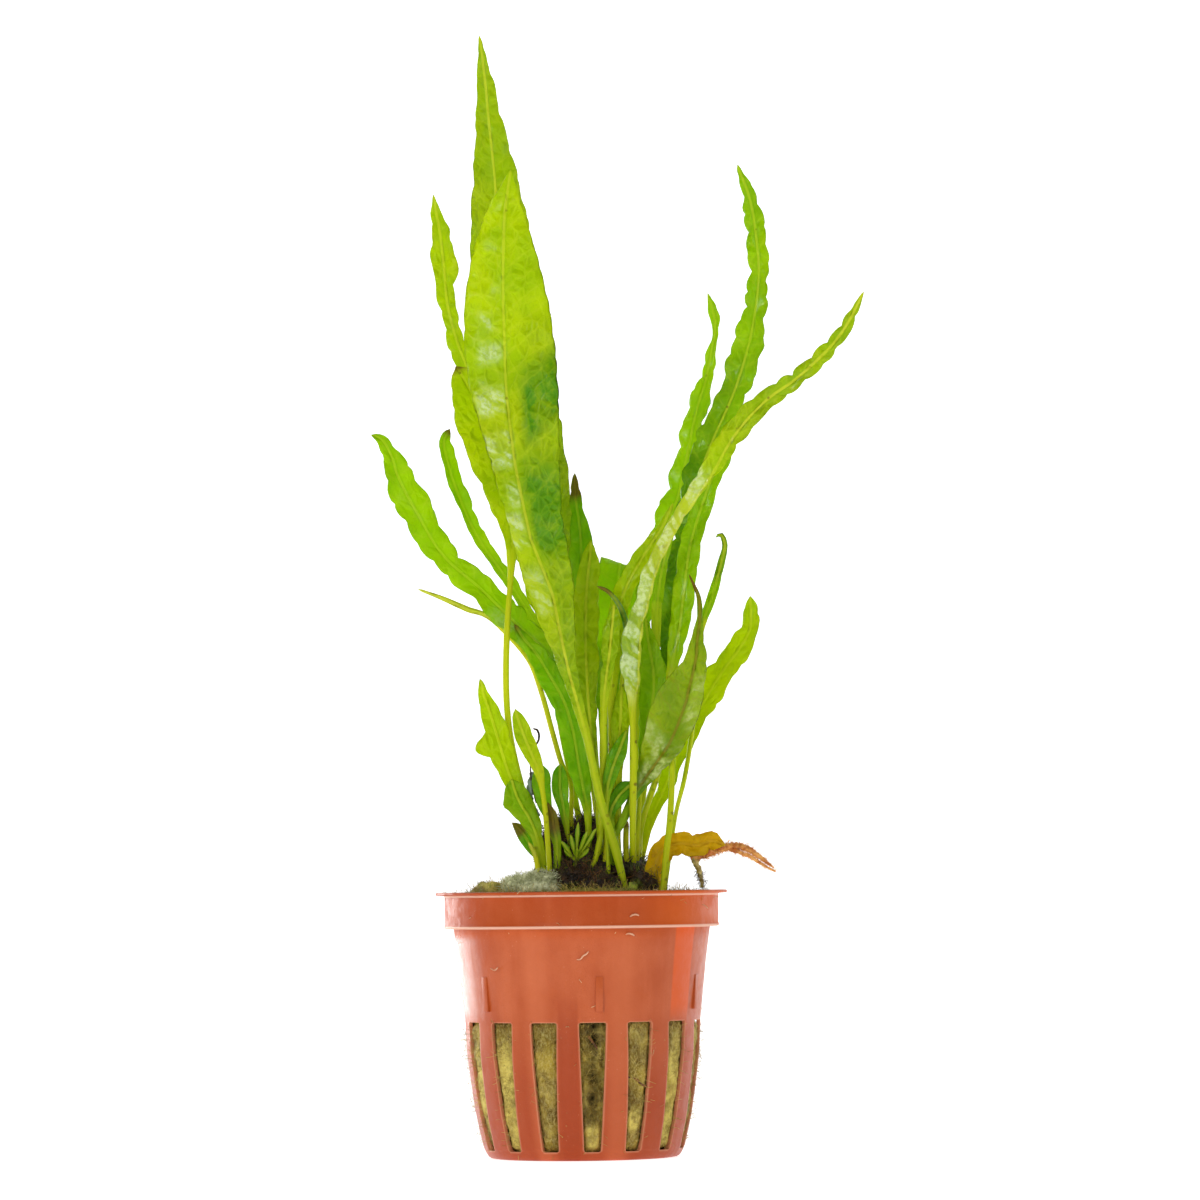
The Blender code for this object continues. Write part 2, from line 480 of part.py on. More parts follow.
def net_pot():
    """The slotted pot: a turned wall and floor, cut by its slots and drains."""
    profile = POT_OUTER + POT_INNER[::-1]
    points = [point for radius, z in profile for point in circle(radius, z, POT_SEGMENTS)]
    faces = ring_faces(len(profile), POT_SEGMENTS)
    last = (len(profile) - 1) * POT_SEGMENTS
    faces.append(list(range(POT_SEGMENTS)))
    faces.append(list(range(last, last + POT_SEGMENTS)))
    pot = mesh_object("net_pot", "pot", points, faces)
    combine(pot, lugs(), "UNION")
    combine(pot, slot_cutter(), "DIFFERENCE")
    combine(pot, drain_cutter(), "DIFFERENCE")
    return pot


def plug_height(x, y):
    """The height of the rock wool's top at a place."""
    height = PLUG_TOP
    for centre_x, centre_y, spread_x, spread_y, rise in PLUG_LUMPS:
        distance = ((x - centre_x) / spread_x) ** 2 + ((y - centre_y) / spread_y) ** 2
        height += rise * 2.718 ** (-distance / 2)
    return height


def rock_wool_plug():
    """The plug: it follows the pot's inner wall, with a lumpy top."""
    sides = [(radius - PLUG_SIDE_GAP, z + GAP) for radius, z in POT_INNER[:-1]]
    top_radius = POT_INNER[-1][0] - PLUG_RIM_GAP
    points = [point for radius, z in sides for point in circle(radius, z, PLUG_SEGMENTS)]
    shares = (1.0, 0.84, 0.68, 0.48, 0.26)
    for share in shares:
        for x, y, _ in circle(top_radius * share, 0, PLUG_SEGMENTS):
            points.append((x, y, plug_height(x, y) - (PLUG_EDGE_DROP if share == shares[0] else 0)))
    rings = len(sides) + len(shares)
    faces = ring_faces(rings, PLUG_SEGMENTS)
    faces.append(list(range(PLUG_SEGMENTS)))
    centre = len(points)
    points.append((0, 0, plug_height(0, 0)))
    last = (rings - 1) * PLUG_SEGMENTS
    for column in range(PLUG_SEGMENTS):
        faces.append((last + column, last + (column + 1) % PLUG_SEGMENTS, centre))
    return mesh_object("rock_wool_plug", "rock_wool", points, faces)


def rhizome():
    """The creeping rhizome: a long flattened body, lumpy all over."""
    shape = bmesh.new()
    bmesh.ops.create_uvsphere(shape, u_segments=20, v_segments=10, radius=1)
    points = []
    for vertex in shape.verts:
        place = [c + h * v for c, h, v in zip(RHIZOME_CENTRE, RHIZOME_HALF, vertex.co)]
        lump = RHIZOME_LUMP * noise.noise(Vector(place) * 0.45)
        points.append([p + lump * v for p, v in zip(place, vertex.co)])
    faces = [[vertex.index for vertex in face.verts] for face in shape.faces]
    shape.free()
    return mesh_object("rhizome", "rhizome", points, faces)


def ground_of(items):
    """A function that gives the highest point of these objects, in millimetres, at x and y."""
    trees = []
    for item in items:
        shape = bmesh.new()
        shape.from_mesh(item.data)
        trees.append(BVHTree.FromBMesh(shape))
        shape.free()

    def height(x, y):
        hits = [tree.ray_cast(Vector((x, y, 100)) * MM, Vector((0, 0, -1)))[0] for tree in trees]
        return max(hit.z / MM for hit in hits if hit)

    return height


def smooth_path(rows, spacing):
    """Evenly spaced rows on a smooth curve through the given ones. A row starts with a place."""
    rows = np.array(rows, float)
    steps = np.linalg.norm(np.diff(rows[:, :3], axis=0), axis=1)
    knots = np.concatenate([[0], np.cumsum(np.sqrt(steps))])
    slopes = np.gradient(rows, knots, axis=0)
    dense = []
    for index in range(len(rows) - 1):
        step = knots[index + 1] - knots[index]
        for t in np.linspace(0, 1, 16, endpoint=False):
            dense.append(
                (2 * t**3 - 3 * t**2 + 1) * rows[index] + (t**3 - 2 * t**2 + t) * step * slopes[index]
                + (3 * t**2 - 2 * t**3) * rows[index + 1] + (t**3 - t**2) * step * slopes[index + 1]
            )
    dense = np.array(dense + [rows[-1]])
    along = np.concatenate([[0], np.cumsum(np.linalg.norm(np.diff(dense[:, :3], axis=0), axis=1))])
    stations = np.linspace(0, along[-1], max(4, round(along[-1] / spacing) + 1))
    return np.array([np.interp(stations, along, column) for column in dense.T]).T


def frames_along(places, turn):
    """For each place on a path, its direction, the way its face looks and the way across it."""
    found = []
    face = np.array((0.0, -1.0, 0.0))
    for direction in np.gradient(places, axis=0):
        direction = direction / np.linalg.norm(direction)
        face = face - face.dot(direction) * direction
        face = face / np.linalg.norm(face)
        across = np.cross(direction, face)
        turned = cos(turn) * face + sin(turn) * across
        found.append((direction, turned, np.cross(direction, turned)))
    return found


def blade(rows, turn, fold, spacing=STATION):
    """Points and faces of a closed blade: six points round each station, and one at the tip."""
    path = smooth_path(rows, spacing)
    turn, fold = radians(turn), radians(fold)
    points = []
    for index, (_, face, across) in enumerate(frames_along(path[:, :3], turn)[:-1]):
        width = max(path[index, 3], LEAST_WIDTH) / cos(turn)
        stalk = min(1, max(0, (BLADE_WIDTH - width) / (BLADE_WIDTH - STALK_WIDTH)))
        half = min(width / 2, BLADE_HALF + (STALK_HALF - BLADE_HALF) * stalk)
        wave = MARGIN_WAVE * (1 - stalk) * (-1) ** index
        left, right = -width * (0.5 + wave), width * (0.5 - wave)
        for side, lift in (
            (left, 0), (left / 2, half), (right / 2, half),
            (right, 0), (right / 2, -half), (left / 2, -half),
        ):
            rise = lift + abs(side) * tan(fold) * (1 - stalk)
            points.append(tuple(path[index, :3] + side * across + rise * face))
    stations = len(path) - 1
    faces = ring_faces(stations, 6)
    faces.append(list(range(6)))
    tip = len(points)
    points.append(tuple(path[-1, :3]))
    faces += [((stations - 1) * 6 + i, (stations - 1) * 6 + (i + 1) % 6, tip) for i in range(6)]
    return points, faces


def leaf(design, ground):
    """A leaf standing on what lies under its root."""
    x, y = design.root
    foot = (x, y, ground(x, y) + GAP + FOOT_LIFT, ROOT_WIDTH)
    points, faces = blade((foot, *design.spine), design.turn, design.fold)
    return mesh_object(design.name, design.colour, points, faces)


def joined(name, finish, pieces):
    """One object that joins several closed pieces, each given as points and faces."""
    first, *others = [mesh_object(f"{name}_{i}", finish, *piece) for i, piece in enumerate(pieces)]
    first.name = name
    for other in others:
        combine(first, other, "UNION")
    return first


def plantlet_tuft(ground):
    """The young plantlet: narrow leaflets that spread from one small crown."""
    x, y = TUFT_ROOT
    crown = Vector((x, y, ground(x, y) + GAP + TUFT_LIFT + TUFT_CORE))
    shape = bmesh.new()
    bmesh.ops.create_icosphere(shape, subdivisions=1, radius=TUFT_CORE)
    core = [tuple(crown + vertex.co) for vertex in shape.verts]
    pieces = [(core, [[vertex.index for vertex in face.verts] for face in shape.faces])]
    shape.free()
    for bearing, rise, length in TUFT_LEAFLETS:
        bearing, rise = radians(bearing), radians(rise)
        out = Vector((cos(bearing) * cos(rise), sin(bearing) * cos(rise), sin(rise)))
        rows = [
            (*(crown + out * length * share), TUFT_LEAFLET_WIDTH * wide)
            for share, wide in TUFT_SHAPE
        ]
        pieces.append(blade(rows, 0, 0, spacing=TUFT_STATION))
    return joined("plantlet_tuft", "dark", pieces)


def aerial_roots():
    """The forked root that hangs over the rim."""
    return joined("aerial_roots", "root", [blade(rows, 0, 0, spacing=ROOT_STATION) for rows in ROOTS])


def main():
    """Builds every piece."""
    clear_scene()
    net_pot()
    ground = ground_of([rock_wool_plug(), rhizome()])
    for design in LEAVES:
        leaf(design, ground)
    plantlet_tuft(ground)
    aerial_roots()


main()
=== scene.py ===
"""The looks of the potted java fern: fine leaves, pot, rock wool, rhizome, roots and moss.

Sizes are in millimetres until a mesh is made, and +X is to the right, +Y to the back, +Z up,
with the origin at the centre of the pot's underside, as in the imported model.
"""

import logging
from collections.abc import Iterable, Sequence
from dataclasses import dataclass, field
from enum import Enum
from functools import cache
from math import atan2, cos, pi, radians, sin, tan

import bmesh
import bpy
import numpy as np
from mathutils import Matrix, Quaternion, Vector, noise
from mathutils.bvhtree import BVHTree


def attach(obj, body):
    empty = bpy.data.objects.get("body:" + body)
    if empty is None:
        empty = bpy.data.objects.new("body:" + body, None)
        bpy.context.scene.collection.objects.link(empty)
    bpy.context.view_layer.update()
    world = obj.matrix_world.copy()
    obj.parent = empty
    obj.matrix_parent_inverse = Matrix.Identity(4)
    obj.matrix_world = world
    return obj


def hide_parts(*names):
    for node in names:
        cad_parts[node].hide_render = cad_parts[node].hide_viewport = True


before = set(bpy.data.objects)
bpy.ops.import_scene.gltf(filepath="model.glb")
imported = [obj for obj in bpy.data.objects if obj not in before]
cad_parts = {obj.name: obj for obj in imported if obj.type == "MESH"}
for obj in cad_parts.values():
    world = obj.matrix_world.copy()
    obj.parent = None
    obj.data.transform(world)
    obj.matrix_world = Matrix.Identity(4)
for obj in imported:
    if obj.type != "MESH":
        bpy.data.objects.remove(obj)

MM = 0.001
ROOT_BODY = "root"

Colour = tuple[float, float, float, float]
Rows = Sequence[Sequence[float]]
Piece = bpy.types.Object
Material = bpy.types.Material
Pair = tuple[float, float]
Place = tuple[float, float, float]
Measured = tuple[Place, dict[str, float]]

log = logging.getLogger("fern")


def colour(code: str) -> Colour:
    """Turns a colour code into linear light.

    Args:
        code: the colour as a screen shows it, such as "#C46446".

    Returns:
        Its red, green and blue from 0 to 1, and an alpha of 1.
    """
    parts = [int(code[i:i + 2], 16) / 255 for i in (1, 3, 5)]
    linear = [part / 12.92 if part <= 0.04045 else ((part + 0.055) / 1.055) ** 2.4 for part in parts]
    return (linear[0], linear[1], linear[2], 1.0)


def held(value: float) -> float:
    """The value, held between 0 and 1."""
    return min(1.0, max(0.0, value))


def lumpy(place: Vector, octaves: Rows) -> float:
    """Noise at a place, summed over pairs of a frequency and a weight."""
    return sum(weight * noise.noise(place * frequency) for frequency, weight in octaves)


class Signal:
    """A number or a colour on its way through a node tree, with arithmetic for numbers."""

    def __init__(self, nodes: "Nodes", socket: bpy.types.NodeSocket) -> None:
        """Wraps an output socket of that tree."""
        self.nodes = nodes
        self.socket = socket

    def _maths(self, operation: str, *values: object) -> "Signal":
        """One Math node on these values."""
        return self.nodes.add("ShaderNodeMath", {"operation": operation}, dict(enumerate(values)))

    def __add__(self, other: object) -> "Signal":
        """Sum."""
        return self._maths("ADD", self, other)

    __radd__ = __add__

    def __sub__(self, other: object) -> "Signal":
        """Difference."""
        return self._maths("SUBTRACT", self, other)

    def __rsub__(self, other: object) -> "Signal":
        """Difference with the other value first."""
        return self._maths("SUBTRACT", other, self)

    def __mul__(self, other: object) -> "Signal":
        """Product."""
        return self._maths("MULTIPLY", self, other)

    __rmul__ = __mul__

    def __truediv__(self, other: object) -> "Signal":
        """Quotient."""
        return self._maths("DIVIDE", self, other)

    def __abs__(self) -> "Signal":
        """Absolute value."""
        return self._maths("ABSOLUTE", self)

    def other(self, name: str) -> "Signal":
        """Another output of the same node."""
        return Signal(self.nodes, self.socket.node.outputs[name])

    def step(self, low: float, high: float) -> "Signal":
        """A smooth rise from 0 to 1.

        Args:
            low: where the rise starts.
            high: where it ends; a low above high turns it round.

        Returns:
            The stepped value.
        """
        if low > high:
            return 1 - self.step(high, low)
        sockets = {"Value": self, "From Min": low, "From Max": high}
        return self.nodes.add("ShaderNodeMapRange", {"interpolation_type": "SMOOTHSTEP"}, sockets)


class Nodes:
    """A node tree, filled by one method for any node and a few short forms."""

    def __init__(self, tree: bpy.types.NodeTree) -> None:
        """Empties the tree."""
        self.tree = tree
        self.tree.nodes.clear()

    @classmethod
    def of(cls, material: Material) -> "Nodes":
        """The empty tree of a material."""
        material.use_nodes = True
        return cls(material.node_tree)

    def add(
        self, kind: str, settings: dict[str, object] | None = None,
        values: dict[object, object] | None = None, output: int | str = 0,
    ) -> Signal:
        """Adds a node.

        Args:
            kind: the node's type.
            settings: its settings, made before its sockets are filled.
            values: what goes into its sockets, by name or number: a Signal or a constant.
            output: the output to hand back.

        Returns:
            The chosen output.
        """
        node = self.tree.nodes.new(kind)
        for name, value in (settings or {}).items():
            setattr(node, name, value)
        for name, value in (values or {}).items():
            if isinstance(value, Signal):
                self.tree.links.new(value.socket, node.inputs[name])
            else:
                node.inputs[name].default_value = value
        return Signal(self, node.outputs[output])

    def place(self, scale: Sequence[float] = (1, 1, 1)) -> Signal:
        """Object coordinates in millimetres, stretched by the scale."""
        here = self.add("ShaderNodeTexCoord", output="Object")
        return self.add("ShaderNodeMapping", values={"Vector": here, "Scale": [s / MM for s in scale]})

    def measure(self, name: str) -> Signal:
        """A number that the mesh carries under that name."""
        return self.add("ShaderNodeAttribute", {"attribute_name": name}, output="Fac")

    def noise(self, where: Signal, scale: float, detail: float = 3.0, roughness: float = 0.55) -> Signal:
        """Noise from 0 to 1 with features of about 1 / scale."""
        sockets = {"Vector": where, "Scale": scale, "Detail": detail, "Roughness": roughness}
        return self.add("ShaderNodeTexNoise", values=sockets)

    def cells(self, where: Signal, scale: float, feature: str = "DISTANCE_TO_EDGE") -> Signal:
        """The distance to the edges, or to the centres, of irregular cells."""
        return self.add("ShaderNodeTexVoronoi", {"feature": feature}, {"Vector": where, "Scale": scale})

    def blend(self, share: object, first: object, second: object) -> Signal:
        """A mix of two colours; share 1 gives the second."""
        sockets = {0: share, 6: first, 7: second}
        return self.add("ShaderNodeMix", {"data_type": "RGBA"}, sockets, output=2)

    def layers(self, body: Signal, *coats: tuple[Signal, str]) -> Signal:
        """Lays colours over a colour, one after another.

        Args:
            body: the colour to start from.
            coats: for each colour, how strongly it shows and its code.

        Returns:
            The last mix.
        """
        for share, code in coats:
            body = self.blend(share, body, colour(code))
        return body

    def bump(self, height: Signal, depth: float, normal: Signal | None = None) -> Signal:
        """Turns a height into a normal.

        Args:
            height: the height, from 0 to 1.
            depth: how deep the full height is, in millimetres.
            normal: the normal to start from.

        Returns:
            The normal.
        """
        sockets: dict[object, object] = {"Height": height, "Distance": depth * MM, "Strength": 1.0}
        if normal:
            sockets["Normal"] = normal
        return self.add("ShaderNodeBump", values=sockets)

    def surface(self, shader: Signal) -> None:
        """Ends a material with that shader."""
        node = self.tree.nodes.new("ShaderNodeOutputMaterial")
        self.tree.links.new(shader.socket, node.inputs["Surface"])


@dataclass(frozen=True)
class Finish:
    """A finish, which draws its material when it is first asked for it."""

    name: str

    @cache
    def material(self) -> Material:
        """Makes the material, once for each finish.

        Returns:
            The material.
        """
        made = bpy.data.materials.new(self.name)
        self.draw(Nodes.of(made))
        return made

    def draw(self, n: Nodes) -> None:
        """Draws the finish into its empty tree."""
        raise NotImplementedError


class BladePattern:
    """What a leaf's colour, relief and gloss have in common: its measures, its ribs and its veins."""

    def __init__(self, n: Nodes, finish: "LeafFinish") -> None:
        """Reads what the leaf's mesh carries and lays the veins.

        Args:
            n: the material's tree.
            finish: the finish, which says how ribs and veins run.
        """
        self.where = n.place()
        self.flat = n.add("ShaderNodeUVMap", {"uv_map": "blade"})
        off_rib = n.add("ShaderNodeSeparateXYZ", values={0: self.flat}, output="X")
        self.across = abs(off_rib)
        self.along = n.measure("along")
        self.stalk = n.measure("stalk")
        self.wither = n.measure("wither")
        self.blade = 1 - self.stalk
        # Painted shade: the shade measure, mottled, darkens the blade where another leaf lies behind it.
        mottled = n.noise(self.where, 0.2, 4, 0.6).step(0.38, 0.54)
        self.shade = n.measure("shade") * (0.72 + 0.28 * mottled)

        sway = (n.noise(self.flat, 0.3, 2) - 0.5) * finish.vein_sway
        slant = off_rib.other("Y") - finish.vein_slant * self.across + sway
        self.side_veins = n.add("ShaderNodeMath", {"operation": "PINGPONG"}, {0: slant, 1: finish.vein_gap})
        oblong = n.add("ShaderNodeMapping", values={"Vector": self.flat, "Scale": (0.75, 0.5, 1.0)})
        self.net = n.cells(oblong, finish.net)
        fine = n.cells(self.flat, finish.fine_net).step(0.08, 0.0) * 0.2
        veins = self.side_veins.step(0.3, 0.08) * 0.6 + self.net.step(0.08, 0.0) * 0.45 + fine
        self.veins = veins * self.blade * self.across.step(0.0, 0.8)
        self.rib = self.across.step(*finish.rib_edge)
        self.groove = self.across.step(*finish.groove_edge) * (1 - self.rib)

        # Painted sheen: the silver measure, broken into glints and speckles, paints a pale highlight.
        between = n.add("ShaderNodeCombineXYZ", values={"X": slant * 0.42, "Y": off_rib * 0.16})
        glints = n.noise(between, 1.0, 2, 0.4).step(0.4, 0.52)
        speckle = n.noise(self.where, 1.5, 4, 0.6).step(0.42, 0.58)
        self.silver = n.measure("silver") * (0.15 + 0.85 * glints) * (0.45 + 0.55 * speckle)


@dataclass(frozen=True)
class LeafFinish(Finish):
    """Fresh, wet leaf tissue, which light shines through.

    light and deep are the blade's colours. shadow is painted shade, laid where another leaf lies
    behind it, and also darkens the fine grain. silver is a painted sheen, a pale highlight on its
    glossy patches. midrib and stalk are the colours of its ribs, glow is the
    light that comes through, wither the dead tissue, through the share of light that passes,
    veins how strongly the net of veins shows and quilting how far the tissue swells between the
    veins. Side veins leave the midrib twice vein_gap apart and lean by vein_slant, give or take
    vein_sway, net and fine_net are cells in a millimetre, and rib_edge and groove_edge say where
    midrib and groove have gone and where they are full.
    """

    slot: str
    light: str
    deep: str
    midrib: str
    glow: str
    shade_and_grain: str = "#4A8600"
    silver: str = "#D3E4A4"
    stalk: str = "#D6D61E"
    wither: str = "#6B4A14"
    through: float = 0.58
    roughness: float = 0.26
    veins: float = 0.42
    quilting: float = 0.42
    vein_gap: float = 2.0
    vein_slant: float = 0.75
    vein_sway: float = 3.2
    net: float = 0.72
    fine_net: float = 1.8
    rib_edge: Pair = (0.38, 0.16)
    groove_edge: Pair = (0.75, 0.4)
    rib_depth: float = 0.14
    grain_depth: float = 0.035
    refraction: float = 1.42
    specular: float = 0.15
    coat: float = 0.01
    wet_coat: float = 0.14
    sheen_coat: float = 0.6
    coat_roughness: float = 0.12

    def draw(self, n: Nodes) -> None:
        """Draws the leaf: its skin, and the light that comes through it.

        Args:
            n: the material's empty tree.
        """
        leaf = BladePattern(n, self)
        gloss = self.roughness + n.noise(leaf.where, 0.25, 2).step(0.38, 0.66) * 0.26 + leaf.wither * 0.3
        wet = n.noise(leaf.where, 0.16, 2).step(0.5, 0.62) * leaf.blade
        skin = n.add("ShaderNodeBsdfPrincipled", values={
            "Base Color": self.colours(n, leaf), "Roughness": gloss, "Normal": self.relief(n, leaf),
            "IOR": self.refraction, "Specular IOR Level": self.specular,
            "Coat Weight": self.coat + wet * self.wet_coat + leaf.silver * self.sheen_coat,
            "Coat Roughness": self.coat_roughness,
        })
        shine = n.add("ShaderNodeBsdfTranslucent", values={"Color": colour(self.glow)})
        dim = n.noise(leaf.where, 0.45, 4).step(0.42, 0.7) * -0.12 + 1.0
        # Painted shade and painted sheen also let less light through.
        share = self.through * dim * (1 - leaf.wither * 0.75) * (1 - leaf.veins * 0.2)
        share = share * (1 - leaf.stalk * 0.3) * (1 - leaf.shade * 0.9) * (1 - leaf.silver * 0.55)
        n.surface(n.add("ShaderNodeMixShader", values={0: share, 1: skin, 2: shine}))

    def colours(self, n: Nodes, leaf: BladePattern) -> Signal:
        """Lays the leaf's colours over each other, from its tissue to its dry tip.

        Args:
            n: the material's tree.
            leaf: the leaf's pattern.

        Returns:
            The colour.
        """
        where, flat = leaf.where, leaf.flat
        patches = n.noise(where, 0.1, 2).step(0.36, 0.64)
        lengthwise = n.add("ShaderNodeMapping", values={"Vector": flat, "Scale": (2.2, 0.12, 1.0)})
        streaks = n.noise(lengthwise, 1.0, 3).step(0.45, 0.7)
        flecks = n.cells(flat, 0.62, "F1").step(0.3, 0.16) * n.noise(where, 0.24, 2).step(0.44, 0.6)
        dots = n.cells(flat, 0.42, "F1").step(0.15, 0.07) * leaf.across.step(0.95, 0.35)
        return n.layers(
            n.blend(0.35 + 0.65 * patches, colour(self.deep), colour(self.light)),
            (leaf.along.step(0.45, 0.0) * 0.4, self.deep),
            (n.noise(where, 0.45, 4).step(0.42, 0.7) * 0.25, self.deep),
            (n.noise(where, 2.6, 4, 0.65).step(0.5, 0.68) * 0.3 * leaf.blade, self.shade_and_grain),
            # painted shade, laid over the blade's own colours
            (leaf.shade, self.shade_and_grain),
            (leaf.veins * self.veins * (1 - 0.8 * leaf.shade), self.midrib),
            # painted sheen, a pale highlight, which the coat also makes glossier
            (leaf.silver * 0.85, self.silver),
            (leaf.groove * leaf.blade * 0.3, self.deep),
            (leaf.rib * leaf.blade * 0.8, self.midrib),
            (leaf.stalk * (0.92 - 0.6 * leaf.shade), self.stalk),
            (leaf.stalk * streaks * 0.45, self.deep),
            (leaf.stalk * flecks * 0.8, self.wither),
            (dots * 0.75, self.wither),
            (leaf.wither * (0.65 + 0.35 * n.noise(where, 0.8)), self.wither),
        )

    def relief(self, n: Nodes, leaf: BladePattern) -> Signal:
        """Lays the swelling between the veins, the midrib and the grain over each other.

        Args:
            n: the material's tree.
            leaf: the leaf's pattern.

        Returns:
            The normal.
        """
        swelling = leaf.net.step(0.0, 0.42) * (0.35 + 0.65 * leaf.side_veins.step(0.0, 1.3)) * leaf.blade
        normal = n.bump(swelling, self.quilting)
        normal = n.bump(leaf.rib * leaf.blade, self.rib_depth, normal)
        return n.bump(n.noise(leaf.where, 2.4, 3), self.grain_depth, normal)


class Tone(Enum):
    """The finishes that the leaves come in."""

    BRIGHT = LeafFinish("leaf_bright", "bright", "#CADC00", "#92BE00", "#DCE034", "#CCDE00")
    FRESH = LeafFinish("leaf_fresh", "green", "#CADC00", "#92BE00", "#DCE034", "#CCDE00")
    GREEN = LeafFinish("leaf_green", "green", "#B4D400", "#7AB000", "#CCD82C", "#B4D800", quilting=0.3)
    DARK = LeafFinish(
        "leaf_dark", "dark", "#86BC00", "#468A00", "#A8B828", "#8ECC00", through=0.44, quilting=0.26,
    )
    MIDDLE = LeafFinish(
        "leaf_middle", "dark", "#9CCA00", "#5A9C00", "#B4C828", "#A4D600", through=0.5, quilting=0.26,
    )
    # OLIVE's silver colour is that of its painted sheen.
    OLIVE = LeafFinish(
        "leaf_olive", "olive", "#A0BC10", "#6A9200", "#8C7C1A", "#A2C000", stalk="#8CB010",
        through=0.36, roughness=0.2, quilting=0.4, silver="#C8D67C",
    )
    STALK = LeafFinish("leaf_stalk", "stalk", "#D2D626", "#A4AC18", "#DCE050", "#D2D81C", through=0.4)
    DECAYED = LeafFinish(
        "leaf_decayed", "decayed", "#ECC80C", "#B89A08", "#C8AA22", "#ECC400",
        stalk="#C29C10", through=0.46, roughness=0.42, veins=0.16, quilting=0.5,
    )


@dataclass(frozen=True)
class Patch:
    """A patch of painted shade or of painted sheen on a blade: darker, or paler and glossier, than the rest.

    start and end are shares of the leaf's length, left and right run from -1 to 1 across the
    blade from its midrib, and strength runs from 0 to 1. slant is how much farther along the
    patch lies at the blade's margin.
    """

    start: float = -0.1
    end: float = 1.1
    left: float = -2.0
    right: float = 2.0
    strength: float = 0.8
    soft_along: float = 0.04
    soft_across: float = 0.25
    slant: float = 0.0

    def share(self, along: float, across: float) -> float:
        """How strong the patch is at a place on the blade.

        Args:
            along: the place as a share of the leaf's length.
            across: the place as a share of the half width, below 0 on the left.

        Returns:
            The strength, from 0 to 1.
        """
        along -= self.slant * abs(across)
        ends = min(along - self.start, self.end - along) / self.soft_along
        sides = min(across - self.left, self.right - across) / self.soft_across
        return self.strength * held(ends + 0.5) * held(sides + 0.5)


@dataclass(frozen=True)
class Leaf:
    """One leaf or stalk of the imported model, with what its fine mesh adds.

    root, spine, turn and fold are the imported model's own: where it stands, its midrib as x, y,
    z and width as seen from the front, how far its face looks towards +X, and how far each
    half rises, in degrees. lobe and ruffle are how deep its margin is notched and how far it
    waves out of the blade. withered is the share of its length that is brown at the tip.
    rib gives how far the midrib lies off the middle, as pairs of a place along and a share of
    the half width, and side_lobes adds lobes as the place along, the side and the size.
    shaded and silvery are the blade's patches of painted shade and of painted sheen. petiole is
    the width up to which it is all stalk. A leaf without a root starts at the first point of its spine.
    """

    name: str
    tone: Tone
    root: Pair | None
    spine: Rows
    turn: float = 0.0
    fold: float = 8.0
    lobe: float = 0.35
    ruffle: float = 0.35
    pitch: float = 4.6
    withered: float = 0.0
    rib: tuple[Pair, ...] = ((0.0, 0.0),)
    side_lobes: tuple[tuple[float, int, float], ...] = ()
    shaded: tuple[Patch, ...] = ()
    painted_sheen_patches: tuple[Patch, ...] = ()
    petiole: float = 1.4
